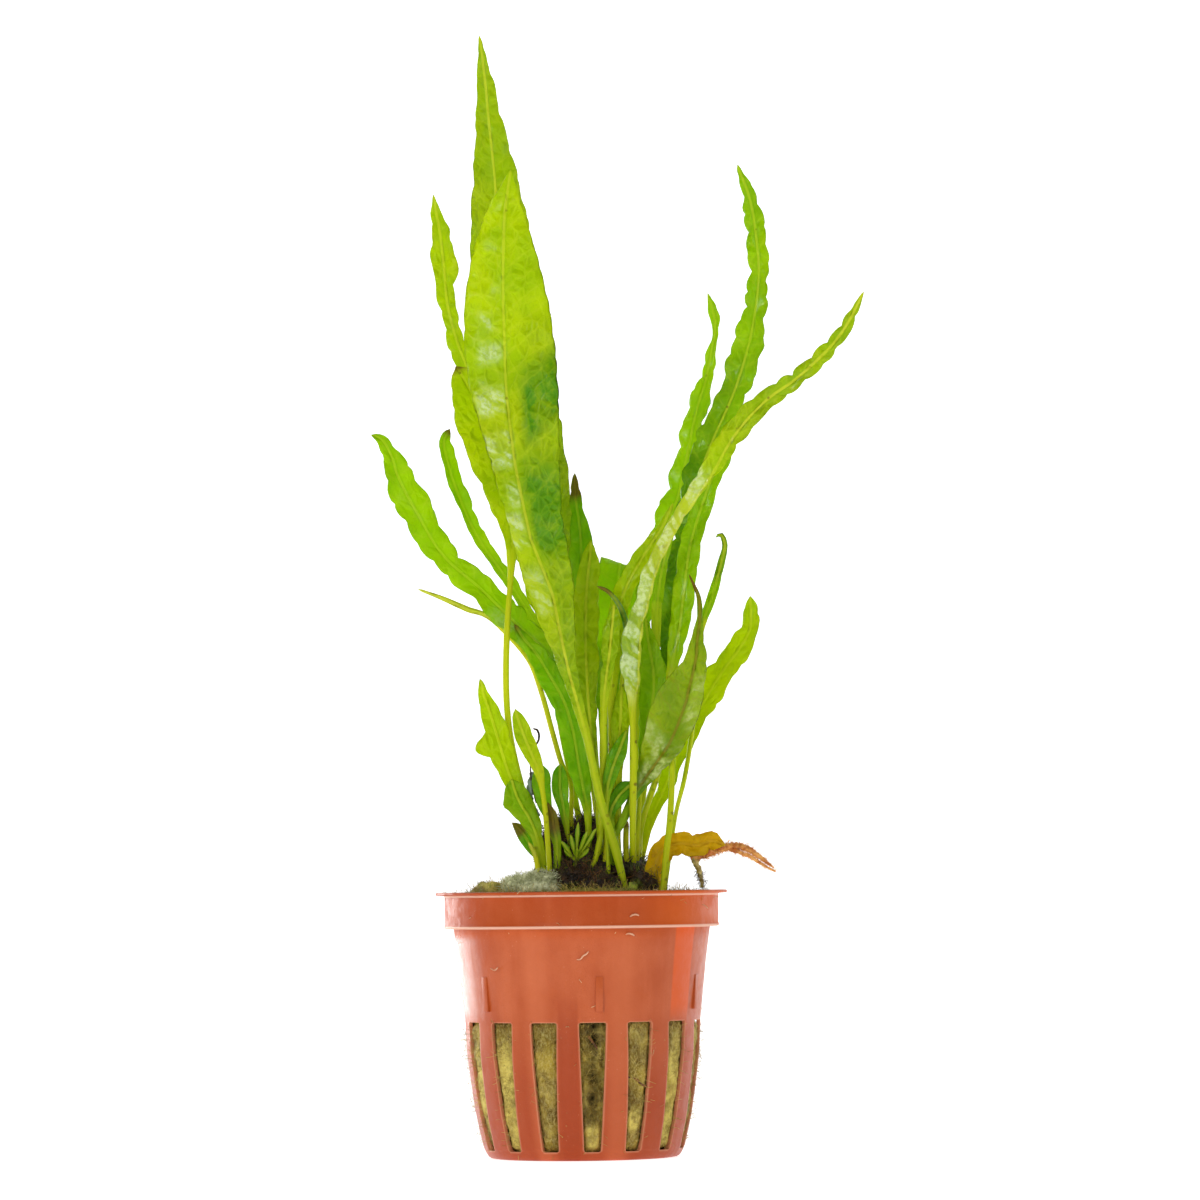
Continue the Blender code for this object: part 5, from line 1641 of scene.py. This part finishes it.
    def drain(self, pot: Piece) -> None:
        """Cuts the straight slots through the pot's floor."""
        points, faces = [], []
        near, far = self.drain_reach
        half = self.drain_half
        for index in range(self.drain_count):
            bearing = radians(360 / self.drain_count * index + self.drain_first)
            out, side = Vector((sin(bearing), -cos(bearing), 0)), Vector((cos(bearing), sin(bearing), 0))
            faces += tube_faces(2, 4, len(points))
            for z in (-1.0, 2.0):
                for reach, across in ((near, -half), (far, -half), (far, half), (near, half)):
                    points.append(out * reach + side * across + Vector((0, 0, z)))
        tool = as_mesh("drain_cutter", points, faces)
        change = pot.modifiers.new("drains", "BOOLEAN")
        change.object = tool
        change.operation = "DIFFERENCE"
        change.solver = "EXACT"
        settled(pot)
        bpy.data.objects.remove(tool, do_unlink=True)

    def lugs(self) -> Piece:
        """Makes the small wedges round the wall that keep stacked pots from jamming.

        Returns:
            The wedges, as one object.
        """
        points, faces = [], []
        low, high = self.radius(self.wall, self.lug_bottom), self.radius(self.wall, self.lug_top)
        for index in range(self.lug_count):
            bearing = radians(self.lug_first + 360 / self.lug_count * index)
            faces += tube_faces(2, 4, len(points))
            for side in (-1, 1):
                angle = bearing + side * self.lug_width / 2 / high
                for radius, z in (
                    (low - self.lug_sunk, self.lug_bottom), (low + self.lug_proud, self.lug_bottom),
                    (high + self.lug_top_proud, self.lug_top), (high - self.lug_sunk, self.lug_top),
                ):
                    points.append((radius * sin(angle), -radius * cos(angle), z))
        return as_mesh("lugs", points, faces)


@dataclass(frozen=True)
class RockWool(Finish):
    """Wet rock wool, stained by algae, from yellow to grey-green, with painted shade in its hollows."""

    name: str = "rock_wool"
    light: str = "#AC9430"
    stained: str = "#745E10"
    pale: str = "#CCB85C"
    brown: str = "#5E460E"
    threads: str = "#E0D084"
    gold: str = "#DCCA64"
    # hollow is the colour of the painted shade in the hollows.
    hollow: str = "#302408"
    roughness: float = 0.85
    specular: float = 0.3

    def draw(self, n: Nodes) -> None:
        """Draws the wool.

        Args:
            n: the material's empty tree.
        """
        where = n.place()
        stretched = n.place((1.0, 1.0, 0.45))
        stain = n.noise(where, 0.17, 3).step(0.38, 0.62)
        threads = n.noise(stretched, 3.2, 5, 0.7)
        body = n.layers(
            n.blend(stain, colour(self.stained), colour(self.light)),
            (n.noise(stretched, 0.32, 3).step(0.5, 0.72) * 0.8, self.pale),
            (n.noise(where, 0.5, 3).step(0.5, 0.66) * 0.7, self.brown),
            (threads.step(0.42, 0.66) * 0.42, self.threads),
            (n.measure("gold") * (0.25 + 0.75 * n.noise(where, 0.55).step(0.35, 0.6)), self.gold),
            # painted shade in the hollows and on sunken spots
            (n.measure("shade") * (0.75 + 0.25 * n.noise(where, 0.9)), self.hollow),
        )
        n.surface(n.add("ShaderNodeBsdfPrincipled", values={
            "Base Color": body, "Roughness": self.roughness - 0.3 * n.noise(where, 0.6),
            "Normal": n.bump(threads, 0.3, n.bump(n.noise(where, 0.9, 3), 0.5)),
            "Specular IOR Level": self.specular,
        }))


@dataclass
class RockWoolPlug:
    """The plug: it bulges into the slots, is hollow behind the front one and lumpy on top.

    lumps rise from the top, as x, y, spreads along both and rise, and gold_spots are yellower, as
    bearing, height and reach in both. grey and flake are the mossy patch and the dry flake on
    top, as x, y and spreads. behind is the play between pot and plug, and bulge how far the
    wool swells into a slot.
    """

    pot: NetPot
    columns: int = 360
    row_step: float = 0.42
    bottom: float = 1.4
    side_top: float = 48.2
    body_radius: float = 21.0
    behind: float = 0.35
    bulge: float = 0.75
    least_gap: float = 0.12
    into_slot: float = 0.55
    lumpiness: Rows = ((0.35, 1.0), (0.9, 0.6), (2.2, 0.35))
    top: float = 49.2
    top_radius: float = 24.6
    top_rings: int = 50
    top_hole: float = 0.012
    rim_height: float = 48.3
    rim_slope: float = 9.0
    roughness: float = 0.7
    lumps: Rows = (
        (-17.6, -3.0, 2.5, 4.5, 2.6), (-11.6, 0.5, 2.2, 6.0, 3.2), (18.0, 6.0, 3.0, 6.0, 0.3),
        (2.0, -16.0, 6.0, 3.5, 1.2), (3.0, 15.5, 7.0, 4.0, 2.2),
    )
    hollow_bearing: float = 5.5
    hollow_half: float = 7.5
    hollow_depth: float = 2.6
    gold_spots: Rows = (
        (5.5, 4.4, 5.5, 3.4), (-42, 11, 6.0, 13.0), (28, 7.5, 4.0, 3.0), (53, 13, 6.0, 12.0),
        (-66, 13.0, 5.0, 9.0),
    )
    grey: tuple[float, float, float, float] = (-10.5, -1, 4.6, 9)
    flake: tuple[float, float, float, float] = (-17.6, -2, 2.8, 8)

    def build(self) -> None:
        """Builds and dresses the plug and its fibres."""
        plug = dress(self.mesh(), RockWool().material(), "rock_wool", "rock_wool_plug")
        for growth in (
            Growth("wool_fibres", Growths.WOOL, "rock_wool", 3.2, 2.2, 0.035, 2.6, 0.5, 3, "fuzz"),
            Growth("wool_green", Growths.GREEN_MOSS, "rock_wool", 1.6, 0.7, 0.04, 1.2, 0.5, 4, "mossy"),
            Growth("wool_moss", Growths.MOSS, "rock_wool", 16.0, 1.3, 0.05, 1.1, 0.6, 5, "moss"),
        ):
            growth.grow(plug)

    def height(self, x: float, y: float) -> float:
        """The height of the top.

        Args:
            x: the place to the right, in millimetres.
            y: the place to the back.

        Returns:
            The height, in millimetres.
        """
        height = self.top
        for centre_x, centre_y, spread_x, spread_y, rise in self.lumps:
            distance = ((x - centre_x) / spread_x) ** 2 + ((y - centre_y) / spread_y) ** 2
            height += rise * 2.718 ** (-distance / 2)
        rough = noise.noise(Vector((x, y, 0)) * 0.5) + 0.6 * noise.noise(Vector((x, y, 4)) * 1.3)
        return height + self.roughness * rough

    def side_point(self, bearing: float, z: float) -> Measured:
        """A point on the plug's side.

        Args:
            bearing: its bearing, from 0 to 360.
            z: its height, in millimetres.

        Returns:
            Its place, and the numbers that finish and fibres read there.
        """
        signed = (bearing + 180) % 360 - 180
        angle = radians(bearing)
        opening = self.pot.in_slot(bearing, z)
        place = Vector((sin(angle) * self.body_radius, -cos(angle) * self.body_radius, z))
        rough = lumpy(place, self.lumpiness)
        hollow = max(0.0, 1 - abs(signed - self.hollow_bearing) / self.hollow_half)
        hollow *= held((z - 5.6 - 1.4 * rough) / 3.0) * held((28 - z) / 2.0)
        depth = self.behind - opening * self.bulge + 0.45 * max(0.0, rough * 0.7 + 0.3)
        depth += hollow * self.hollow_depth * (0.8 + 0.8 * rough)
        radius = float(self.pot.radius(self.pot.inside, z))
        radius -= max(depth, -self.into_slot * opening + self.least_gap)
        spot = max(
            max(0.0, 1 - ((signed - b) / wide) ** 2 - ((z - level) / tall) ** 2)
            for b, level, wide, tall in self.gold_spots
        )
        # shade is painted shade: dark in the hollow behind the front slot and on sunken spots.
        return (radius * sin(angle), -radius * cos(angle), z), {
            "shade": min(1.0, hollow * (0.85 + 0.4 * rough) + 0.35 * max(0.0, rough - 0.35)),
            "gold": min(1.0, 1.6 * spot), "fuzz": opening * (1 - 0.7 * hollow), "mossy": 0.0, "moss": 0.0,
        }

    def top_point(self, share: float, angle: float) -> Measured:
        """A point on the plug's top.

        Args:
            share: its distance from the middle, as a share of the top's radius.
            angle: its bearing, in radians.

        Returns:
            Its place, and the numbers that finish and fibres read there.
        """
        x, y = self.top_radius * share * sin(angle), -self.top_radius * share * cos(angle)
        edge = min(1.0, (1 - share) * self.rim_slope)
        grey, flake = (
            max(0.0, 1 - ((x - middle_x) / wide) ** 2 - ((y - middle_y) / deep) ** 2)
            for middle_x, middle_y, wide, deep in (self.grey, self.flake)
        )
        # The top is darkened with painted shade, less so on the flake.
        return (x, y, self.height(x, y) * edge + self.rim_height * (1 - edge)), {
            "shade": (0.25 + 0.3 * noise.noise(Vector((x, y, 9)) * 0.5)) * (1 - min(1.0, 2 * flake)),
            "gold": 1.4 * flake, "fuzz": 0.35, "mossy": 0.8 * (1 - min(1.0, grey * 3)),
            "moss": min(1.0, grey * 2.5),
        }

    def mesh(self) -> Piece:
        """The plug's mesh, with the numbers that its finish and its fibres read.

        Returns:
            The plug, still bare.
        """
        heights = np.arange(self.bottom, self.side_top, self.row_step)
        turns = range(self.columns)
        found = [self.side_point(360 * turn / self.columns, z) for z in heights for turn in turns]
        shares = np.linspace(1, self.top_hole, self.top_rings)
        found += [self.top_point(share, 2 * pi * turn / self.columns) for share in shares for turn in turns]
        rings = len(heights) + len(shares)
        points = [place for place, _ in found]
        piece = as_mesh("rock_wool_plug_fine", points, tube_faces(rings, self.columns))
        for name in ("shade", "gold", "fuzz", "mossy", "moss"):
            note(piece, name, [measures[name] for _, measures in found])
        return piece


@dataclass(frozen=True)
class RhizomeSkin(Finish):
    """Dark, scaly rhizome with brown patches and mossy ones."""

    name: str = "rhizome_skin"
    dark: str = "#1E1404"
    brown: str = "#55380E"
    mossy: str = "#5E6A10"
    pale: str = "#8C8436"
    gaps: str = "#120B04"
    roughness: float = 0.7

    def draw(self, n: Nodes) -> None:
        """Draws the skin.

        Args:
            n: the material's empty tree.
        """
        where = n.place()
        scales = n.cells(where, 0.9)
        body = n.layers(
            n.blend(n.noise(where, 0.5, 4).step(0.4, 0.66), colour(self.dark), colour(self.brown)),
            (n.noise(where, 0.24, 2).step(0.52, 0.64) * 0.8, self.mossy),
            (n.noise(where, 1.6, 3).step(0.62, 0.72) * 0.6, self.pale),
            (scales.step(0.12, 0.0) * 0.6, self.gaps),
        )
        n.surface(n.add("ShaderNodeBsdfPrincipled", values={
            "Base Color": body, "Roughness": self.roughness - 0.35 * n.noise(where, 0.7),
            "Normal": n.bump(n.noise(where, 2.6, 4), 0.3, n.bump(scales.step(0.0, 0.3), 0.35)),
        }))


@dataclass
class RhizomeMat:
    """The creeping rhizome, and the matted roots, moss and dirt that are caught round it.

    Each blob is given as x, y, z and its three half sizes.
    """

    centre: Place = (2.6, -0.5, 53.5)
    half: Place = (11.4, 7.2, 3.3)
    clumps: Rows = (
        (-2.6, -7.4, 51.9, 4.0, 3.4, 2.9), (3.0, -9.0, 51.2, 4.2, 2.8, 2.5),
        (11.8, -6.0, 51.2, 3.0, 3.0, 2.8), (-3.8, -1.4, 57.6, 3.6, 3.4, 6.4),
        (0.4, -4.8, 54.2, 3.2, 2.6, 3.6), (1.0, 2.6, 58.6, 4.4, 2.6, 5.6),
    )
    moss_mound: Rows = (
        (-8.8, -8.0, 50.4, 4.4, 4.4, 2.6), (-6.8, -9.0, 50.8, 2.6, 3.0, 2.8),
        (-11.6, -6.6, 49.6, 3.4, 4.0, 2.6),
    )
    voxel: float = 0.28
    lumpiness: Rows = ((0.5, 1.0), (1.2, 0.55), (2.6, 0.3))
    depth: float = 0.6

    def build(self) -> None:
        """Builds and dresses the rhizome, the clumps round it and what grows on them."""
        rhizome = self.blobs("rhizome_fine", ((*self.centre, *self.half),), 0.8)
        dress(rhizome, RhizomeSkin().material(), "rhizome", "rhizome")
        mat = self.blobs("root_mat", self.clumps, 1.3)
        dress(mat, RhizomeSkin().material(), "rhizome")
        Growth("rhizome_roots", Growths.DARK_ROOT, "rhizome", 1.8, 1.8, 0.06, 1.8, 0.9, 11).grow(rhizome)
        Growth("mat_roots", Growths.DARK_ROOT, "rhizome", 2.6, 2.0, 0.06, 1.6, 0.9, 12).grow(mat)
        Growth("mat_brown_roots", Growths.BROWN_ROOT, "rhizome", 0.9, 2.0, 0.05, 1.4, 0.8, 13).grow(mat)
        for name, density, seed, carrier in (("mat_moss", 3.0, 14, mat), ("rhizome_moss", 2.0, 15, rhizome)):
            moss = Growth(name, Growths.GREEN_MOSS, "rhizome", density, 1.1, 0.045, 1.1, 0.5, seed, "green")
            moss.grow(carrier)
        mound = self.blobs("moss_mound", self.moss_mound, 1.2)
        dress(mound, Growths.MOSS.value.material(), "rock_wool")
        Growth("mound_fuzz", Growths.MOSS, "rock_wool", 14.0, 1.2, 0.05, 1.1, 0.6, 16).grow(mound)

    def blobs(self, name: str, blobs: Rows, rough: float) -> Piece:
        """Makes rough rounded clumps, grown together into one closed body.

        Args:
            name: the body's name.
            blobs: the clumps.
            rough: how rough their surface is.

        Returns:
            The body, with the numbers that its growths read.
        """
        pieces = []
        for x, y, z, wide, deep, tall in blobs:
            shape = bmesh.new()
            bmesh.ops.create_icosphere(shape, subdivisions=5, radius=1)
            points = [(x + wide * v.co.x, y + deep * v.co.y, z + tall * v.co.z) for v in shape.verts]
            pieces.append(as_mesh(name, points, [[v.index for v in face.verts] for face in shape.faces]))
            shape.free()
        body = merged(name, pieces)
        change = body.modifiers.new("grown_together", "REMESH")
        change.mode = "VOXEL"
        change.voxel_size = self.voxel * MM
        settled(body)
        thick, green = [], []
        for vertex, normal in zip(body.data.vertices, [v.normal.copy() for v in body.data.vertices]):
            place = Vector(vertex.co) / MM
            vertex.co += normal * lumpy(place, self.lumpiness) * rough * self.depth * MM
            thick.append(held(normal.z + 0.6))
            green.append(held(4 * noise.noise(place * 0.3 + Vector((7, 0, 0)))))
        body.data.shade_smooth()
        note(body, "thick", thick)
        note(body, "green", green)
        return body


@dataclass
class PlantletTuft:
    """The young plantlet: narrow, pointed leaflets from one small crown.

    leaflets are given as bearing and rise in degrees and length, and profile is each one's
    shape, as shares of its length and of the width.
    """

    ground: Ground
    root: Pair = (-0.9, -7.0)
    crown: float = 1.0
    lift: float = 0.35
    width: float = 0.95
    leaflets: Rows = (
        (213, 50, 5.1), (235, 72, 5.4), (277, 45, 3.6), (313, 60, 6.7),
        (331, 54, 7.8), (205, 42, 3.4), (300, 82, 7.5), (342, 42, 3.6),
    )
    profile: Rows = ((-0.2, 0.3), (0.3, 0.5), (0.62, 1.0), (0.84, 0.8), (1.0, 0.1))
    first_seed: int = 60

    def build(self) -> None:
        """Builds and dresses the tuft, which stands for its node."""
        x, y = self.root
        crown = np.array((x, y, self.ground.height(x, y) + self.lift + self.crown))
        pieces = []
        for index, (bearing, rise, length) in enumerate(self.leaflets):
            bearing, rise = radians(bearing), radians(rise)
            out = np.array((cos(bearing) * cos(rise), sin(bearing) * cos(rise), sin(rise)))
            rows = tuple((*(crown + out * length * share), self.width * wide) for share, wide in self.profile)
            # Each leaflet is darkened all over with painted shade.
            design = Leaf(
                f"leaflet_{index}", Tone.DARK, None, rows, fold=12, lobe=0.12, ruffle=0.2, pitch=2.2,
                shaded=(Patch(strength=0.75),), petiole=-0.6,
            )
            leaflet = FernLeaf(design, self.ground, self.first_seed + index, spacing=0.3, half_columns=4)
            pieces.append(leaflet.mesh())
        tuft = merged("plantlet_tuft_fine", pieces)
        dress(tuft, Tone.DARK.value.material(), "dark", "plantlet_tuft")


@dataclass
class AerialRoots:
    """The forked, hairy root that hangs over the rim.

    Its paths are given as x, y, z and width. Above hairy_below it has only few_hairs.
    """

    branches: tuple[Rows, ...] = (
        ((20.6, -4.6, 56.2, 1.0), (22.4, -4.6, 56.4, 1.2), (24.4, -4.6, 56.9, 1.4),
         (26.8, -4.4, 57.8, 1.4), (29.2, -4.4, 58.1, 1.3), (31.6, -4.2, 57.4, 1.1),
         (33.4, -4.2, 56.2, 0.9), (34.9, -4.2, 55.0, 0.6), (36.3, -4.2, 53.9, 0.3)),
        ((27.4, -4.4, 57.9, 0.8), (29.6, -4.8, 57.0, 0.8), (31.9, -5.0, 56.0, 0.7),
         (34.2, -5.0, 54.5, 0.5), (36.6, -5.0, 53.2, 0.3)),
    )
    hanging: Rows = (
        (20.8, -4.6, 56.9, 1.0), (21.7, -4.5, 54.9, 1.1), (22.4, -4.4, 52.8, 0.9),
        (22.8, -4.2, 50.4, 0.6),
    )
    spacing: float = 0.2
    sides: int = 10
    rough: float = 0.8
    hairy_below: float = 53.5
    few_hairs: float = 0.1

    def build(self) -> None:
        """Builds and dresses the roots and their hairs."""
        orange = merged("aerial_roots_fine", [
            self.root(f"branch_{index}", rows) for index, rows in enumerate(self.branches)
        ])
        note(orange, "thick", [1.0] * len(orange.data.vertices))
        dress(orange, Growths.ORANGE_ROOT.value.material(), "root", "aerial_roots")
        pale = self.root("hanging_root", self.hanging)
        low = [vertex.co.z < self.hairy_below * MM for vertex in pale.data.vertices]
        note(pale, "thick", [1.0 if hairy else self.few_hairs for hairy in low])
        dress(pale, Growths.PALE_ROOT.value.material(), "root", "aerial_roots")
        Growth("root_hairs", Growths.ORANGE_ROOT, "root", 9.0, 0.8, 0.035, 1.0, 0.7, 21).grow(orange)
        Growth("hanging_root_hairs", Growths.DARK_ROOT, "root", 14.0, 1.1, 0.04, 1.0, 0.7, 22).grow(pale)

    def root(self, name: str, rows: Rows) -> Piece:
        """One bare root along these rows."""
        return as_mesh(name, *tube(rows, self.spacing, self.sides, self.rough))


@dataclass(frozen=True)
class Strand:
    """One loose root, curl or fibre, as x, y, z and width along it."""

    name: str
    finish: Growths
    slot: str
    rows: Rows
    spacing: float = 0.3
    sides: int = 6
    rough: float = 0.5

    def build(self) -> None:
        """Builds and dresses the strand."""
        piece = as_mesh(self.name, *tube(self.rows, self.spacing, self.sides, self.rough))
        dress(piece, self.finish.value.material(), self.slot)


STRANDS = (
    Strand("dry_curl", Growths.DARK_ROOT, "rhizome", (
        (-8.6, -6.8, 80.6, 0.3), (-7.8, -7.0, 80.2, 0.4), (-7.6, -7.2, 78.6, 0.4), (-8.4, -7.2, 77.0, 0.3),
        (-9.2, -7.0, 73.6, 0.3), (-9.0, -6.8, 70.0, 0.3), (-8.2, -6.6, 66.6, 0.3),
    )),
    Strand("grey_strand", Growths.GREY_FILM, "rhizome", (
        (-8.8, -6.4, 72.4, 0.9), (-9.4, -6.6, 69.4, 1.2), (-9.0, -6.8, 66.4, 0.9), (-7.6, -7.0, 64.2, 0.5),
    )),
    Strand("wall_fibre_1", Growths.CLEAR_SCRAP, "pot", (
        (-0.9, -23.8, 37.4, 0.2), (-0.2, -23.9, 37.5, 0.3), (0.3, -24.0, 38.1, 0.35), (0.9, -24.0, 38.4, 0.3),
        (1.3, -24.0, 38.9, 0.2),
    )),
    Strand("wall_fibre_2", Growths.CLEAR_SCRAP, "pot", (
        (-16.9, -17.3, 35.9, 0.25), (-16.4, -17.6, 35.6, 0.35), (-15.9, -18.0, 35.7, 0.35),
        (-15.6, -18.2, 36.1, 0.2),
    )),
    Strand("wall_fibre_3", Growths.CLEAR_SCRAP, "pot", (
        (8.2, -23.0, 41.9, 0.2), (8.7, -23.0, 42.1, 0.3), (9.3, -22.8, 42.0, 0.35), (9.8, -22.5, 41.7, 0.2),
    )),
    Strand("collar_fibre", Growths.CLEAR_SCRAP, "pot", (
        (9.0, -24.3, 45.2, 0.2), (9.5, -24.2, 45.5, 0.35), (10.1, -23.9, 45.6, 0.4), (10.7, -23.6, 45.4, 0.2),
    )),
    Strand("slot_root_right", Growths.BROWN_ROOT, "rock_wool", (
        (7.6, -19.2, 15.6, 0.3), (9.6, -18.4, 15.2, 0.45), (11.0, -17.6, 14.0, 0.4), (12.6, -16.5, 13.4, 0.3),
    )),
    Strand("slot_root_front", Growths.BROWN_ROOT, "rock_wool", (
        (-0.5, -20.4, 24.9, 0.4), (1.1, -20.0, 23.0, 0.6), (2.7, -19.7, 20.8, 0.5), (3.7, -19.5, 18.8, 0.3),
    )),
    Strand("rim_moss", Growths.GREEN_MOSS, "rhizome", (
        (9.2, -10.2, 49.6, 1.6), (9.6, -10.4, 50.6, 2.4), (9.5, -10.4, 51.6, 1.2),
    )),
    Strand("dry_scrap", Growths.BROWN_ROOT, "rhizome", (
        (4.4, 1.0, 72.0, 0.8), (5.4, 1.2, 70.6, 1.6), (5.8, 1.4, 69.4, 1.2), (5.6, 1.4, 68.6, 0.5),
    )),
)


@dataclass
class Studio:
    """A white sweep, soft lights and the photograph's camera.

    The camera looks at aim, where its picture is field wide. A lamp is given as its name, its
    place, the side of its square and its power in watts.
    """

    camera_height: float = 52.0
    distance: float = 1150.0
    aim: Place = (4.2, 0.0, 104.9)
    field: float = 226.8
    roll: float = -0.7
    sensor: float = 36.0
    background: float = 0.32
    lamps: tuple[tuple[str, Place, float, float], ...] = (
        ("key", (-480, -850, 360), 200, 2.9), ("fill", (620, -520, 380), 300, 0.7),
        ("rim_left", (-640, 700, 90), 420, 6.0), ("rim_right", (760, 700, 120), 300, 0.9),
    )
    paper_colour: Colour = (0.92, 0.92, 0.92, 1.0)
    paper_roughness: float = 0.7
    paper_glow: float = 0.72
    paper_half: float = 6000.0
    paper_front: float = -1600.0
    paper_back: float = 900.0
    paper_bend: float = 500.0
    paper_top: float = 2400.0
    bend_rows: int = 14

    def build(self) -> None:
        """Makes the floor, the lights, the world and the camera."""
        self.floor()
        self.world()
        for lamp in self.lamps:
            self.light(*lamp)
        self.camera()
        bpy.context.scene.view_settings.view_transform = "Standard"

    def floor(self) -> None:
        """A pale floor that sweeps up behind the plant."""
        back, bend = self.paper_back, self.paper_bend
        profile = [(self.paper_front, 0.0), (back, 0.0)]
        turns = np.linspace(0.1, pi / 2, self.bend_rows)
        profile += [(back + bend * sin(a), bend - bend * cos(a)) for a in turns]
        profile += [(back + bend, self.paper_top)]
        points = [(x, y, z) for y, z in profile for x in (-self.paper_half, self.paper_half)]
        faces = [(2 * i, 2 * i + 1, 2 * i + 3, 2 * i + 2) for i in range(len(profile) - 1)]
        sweep = as_mesh("floor_sweep", points, faces)
        paper = bpy.data.materials.new("floor_paper")
        n = Nodes.of(paper)
        n.surface(n.add("ShaderNodeBsdfPrincipled", values={
            "Base Color": self.paper_colour, "Roughness": self.paper_roughness,
            "Emission Color": (1.0, 1.0, 1.0, 1.0), "Emission Strength": self.paper_glow,
        }))
        sweep.data.materials.append(paper)

    def world(self) -> None:
        """White light from all round."""
        world = bpy.data.worlds.new("studio")
        world.use_nodes = True
        world.node_tree.nodes["Background"].inputs["Color"].default_value = (1, 1, 1, 1)
        world.node_tree.nodes["Background"].inputs["Strength"].default_value = self.background
        bpy.context.scene.world = world

    def light(self, name: str, place: Place, size: float, power: float) -> None:
        """Makes a square soft light that is aimed at the plant.

        Args:
            name: its name.
            place: where it hangs.
            size: the side of the square.
            power: its power in watts.
        """
        lamp = bpy.data.lights.new(name, "AREA")
        lamp.size = size * MM
        lamp.energy = power
        holder = placed(name, lamp)
        holder.location = Vector(place) * MM
        holder.rotation_mode = "QUATERNION"
        holder.rotation_quaternion = (Vector(self.aim) - Vector(place)).to_track_quat("-Z", "Y")

    def camera(self) -> None:
        """The camera at the photograph's angle, with its slight roll."""
        seen = bpy.data.cameras.new("camera")
        place = Vector((self.aim[0], -self.distance, self.camera_height))
        look = Vector(self.aim) - place
        seen.sensor_width = self.sensor
        seen.lens = self.sensor * look.length / self.field
        holder = placed("camera", seen)
        holder.location = place * MM
        holder.rotation_mode = "QUATERNION"
        level = look.to_track_quat("-Z", "Y")
        holder.rotation_quaternion = level @ Quaternion((0, 0, 1), radians(self.roll))
        bpy.context.scene.camera = holder


def main() -> None:
    """Builds the studio and every piece, in order."""
    logging.basicConfig(level=logging.INFO, format="%(message)s")
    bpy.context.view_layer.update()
    Studio().build()
    ground = Ground()
    pot = NetPot()
    net_pot = pot.build()
    Growth("pot_flecks", Growths.PALE_FIBRE, "pot", 0.012, 1.0, 0.07, 3.0, 0.8, 31).grow(net_pot)
    RockWoolPlug(pot).build()
    RhizomeMat().build()
    for seed, design in enumerate(FERN_LEAVES):
        FernLeaf(design, ground, seed).build()
    PlantletTuft(ground).build()
    AerialRoots().build()
    for strand in STRANDS:
        strand.build()


if __name__ == "__main__":
    main()
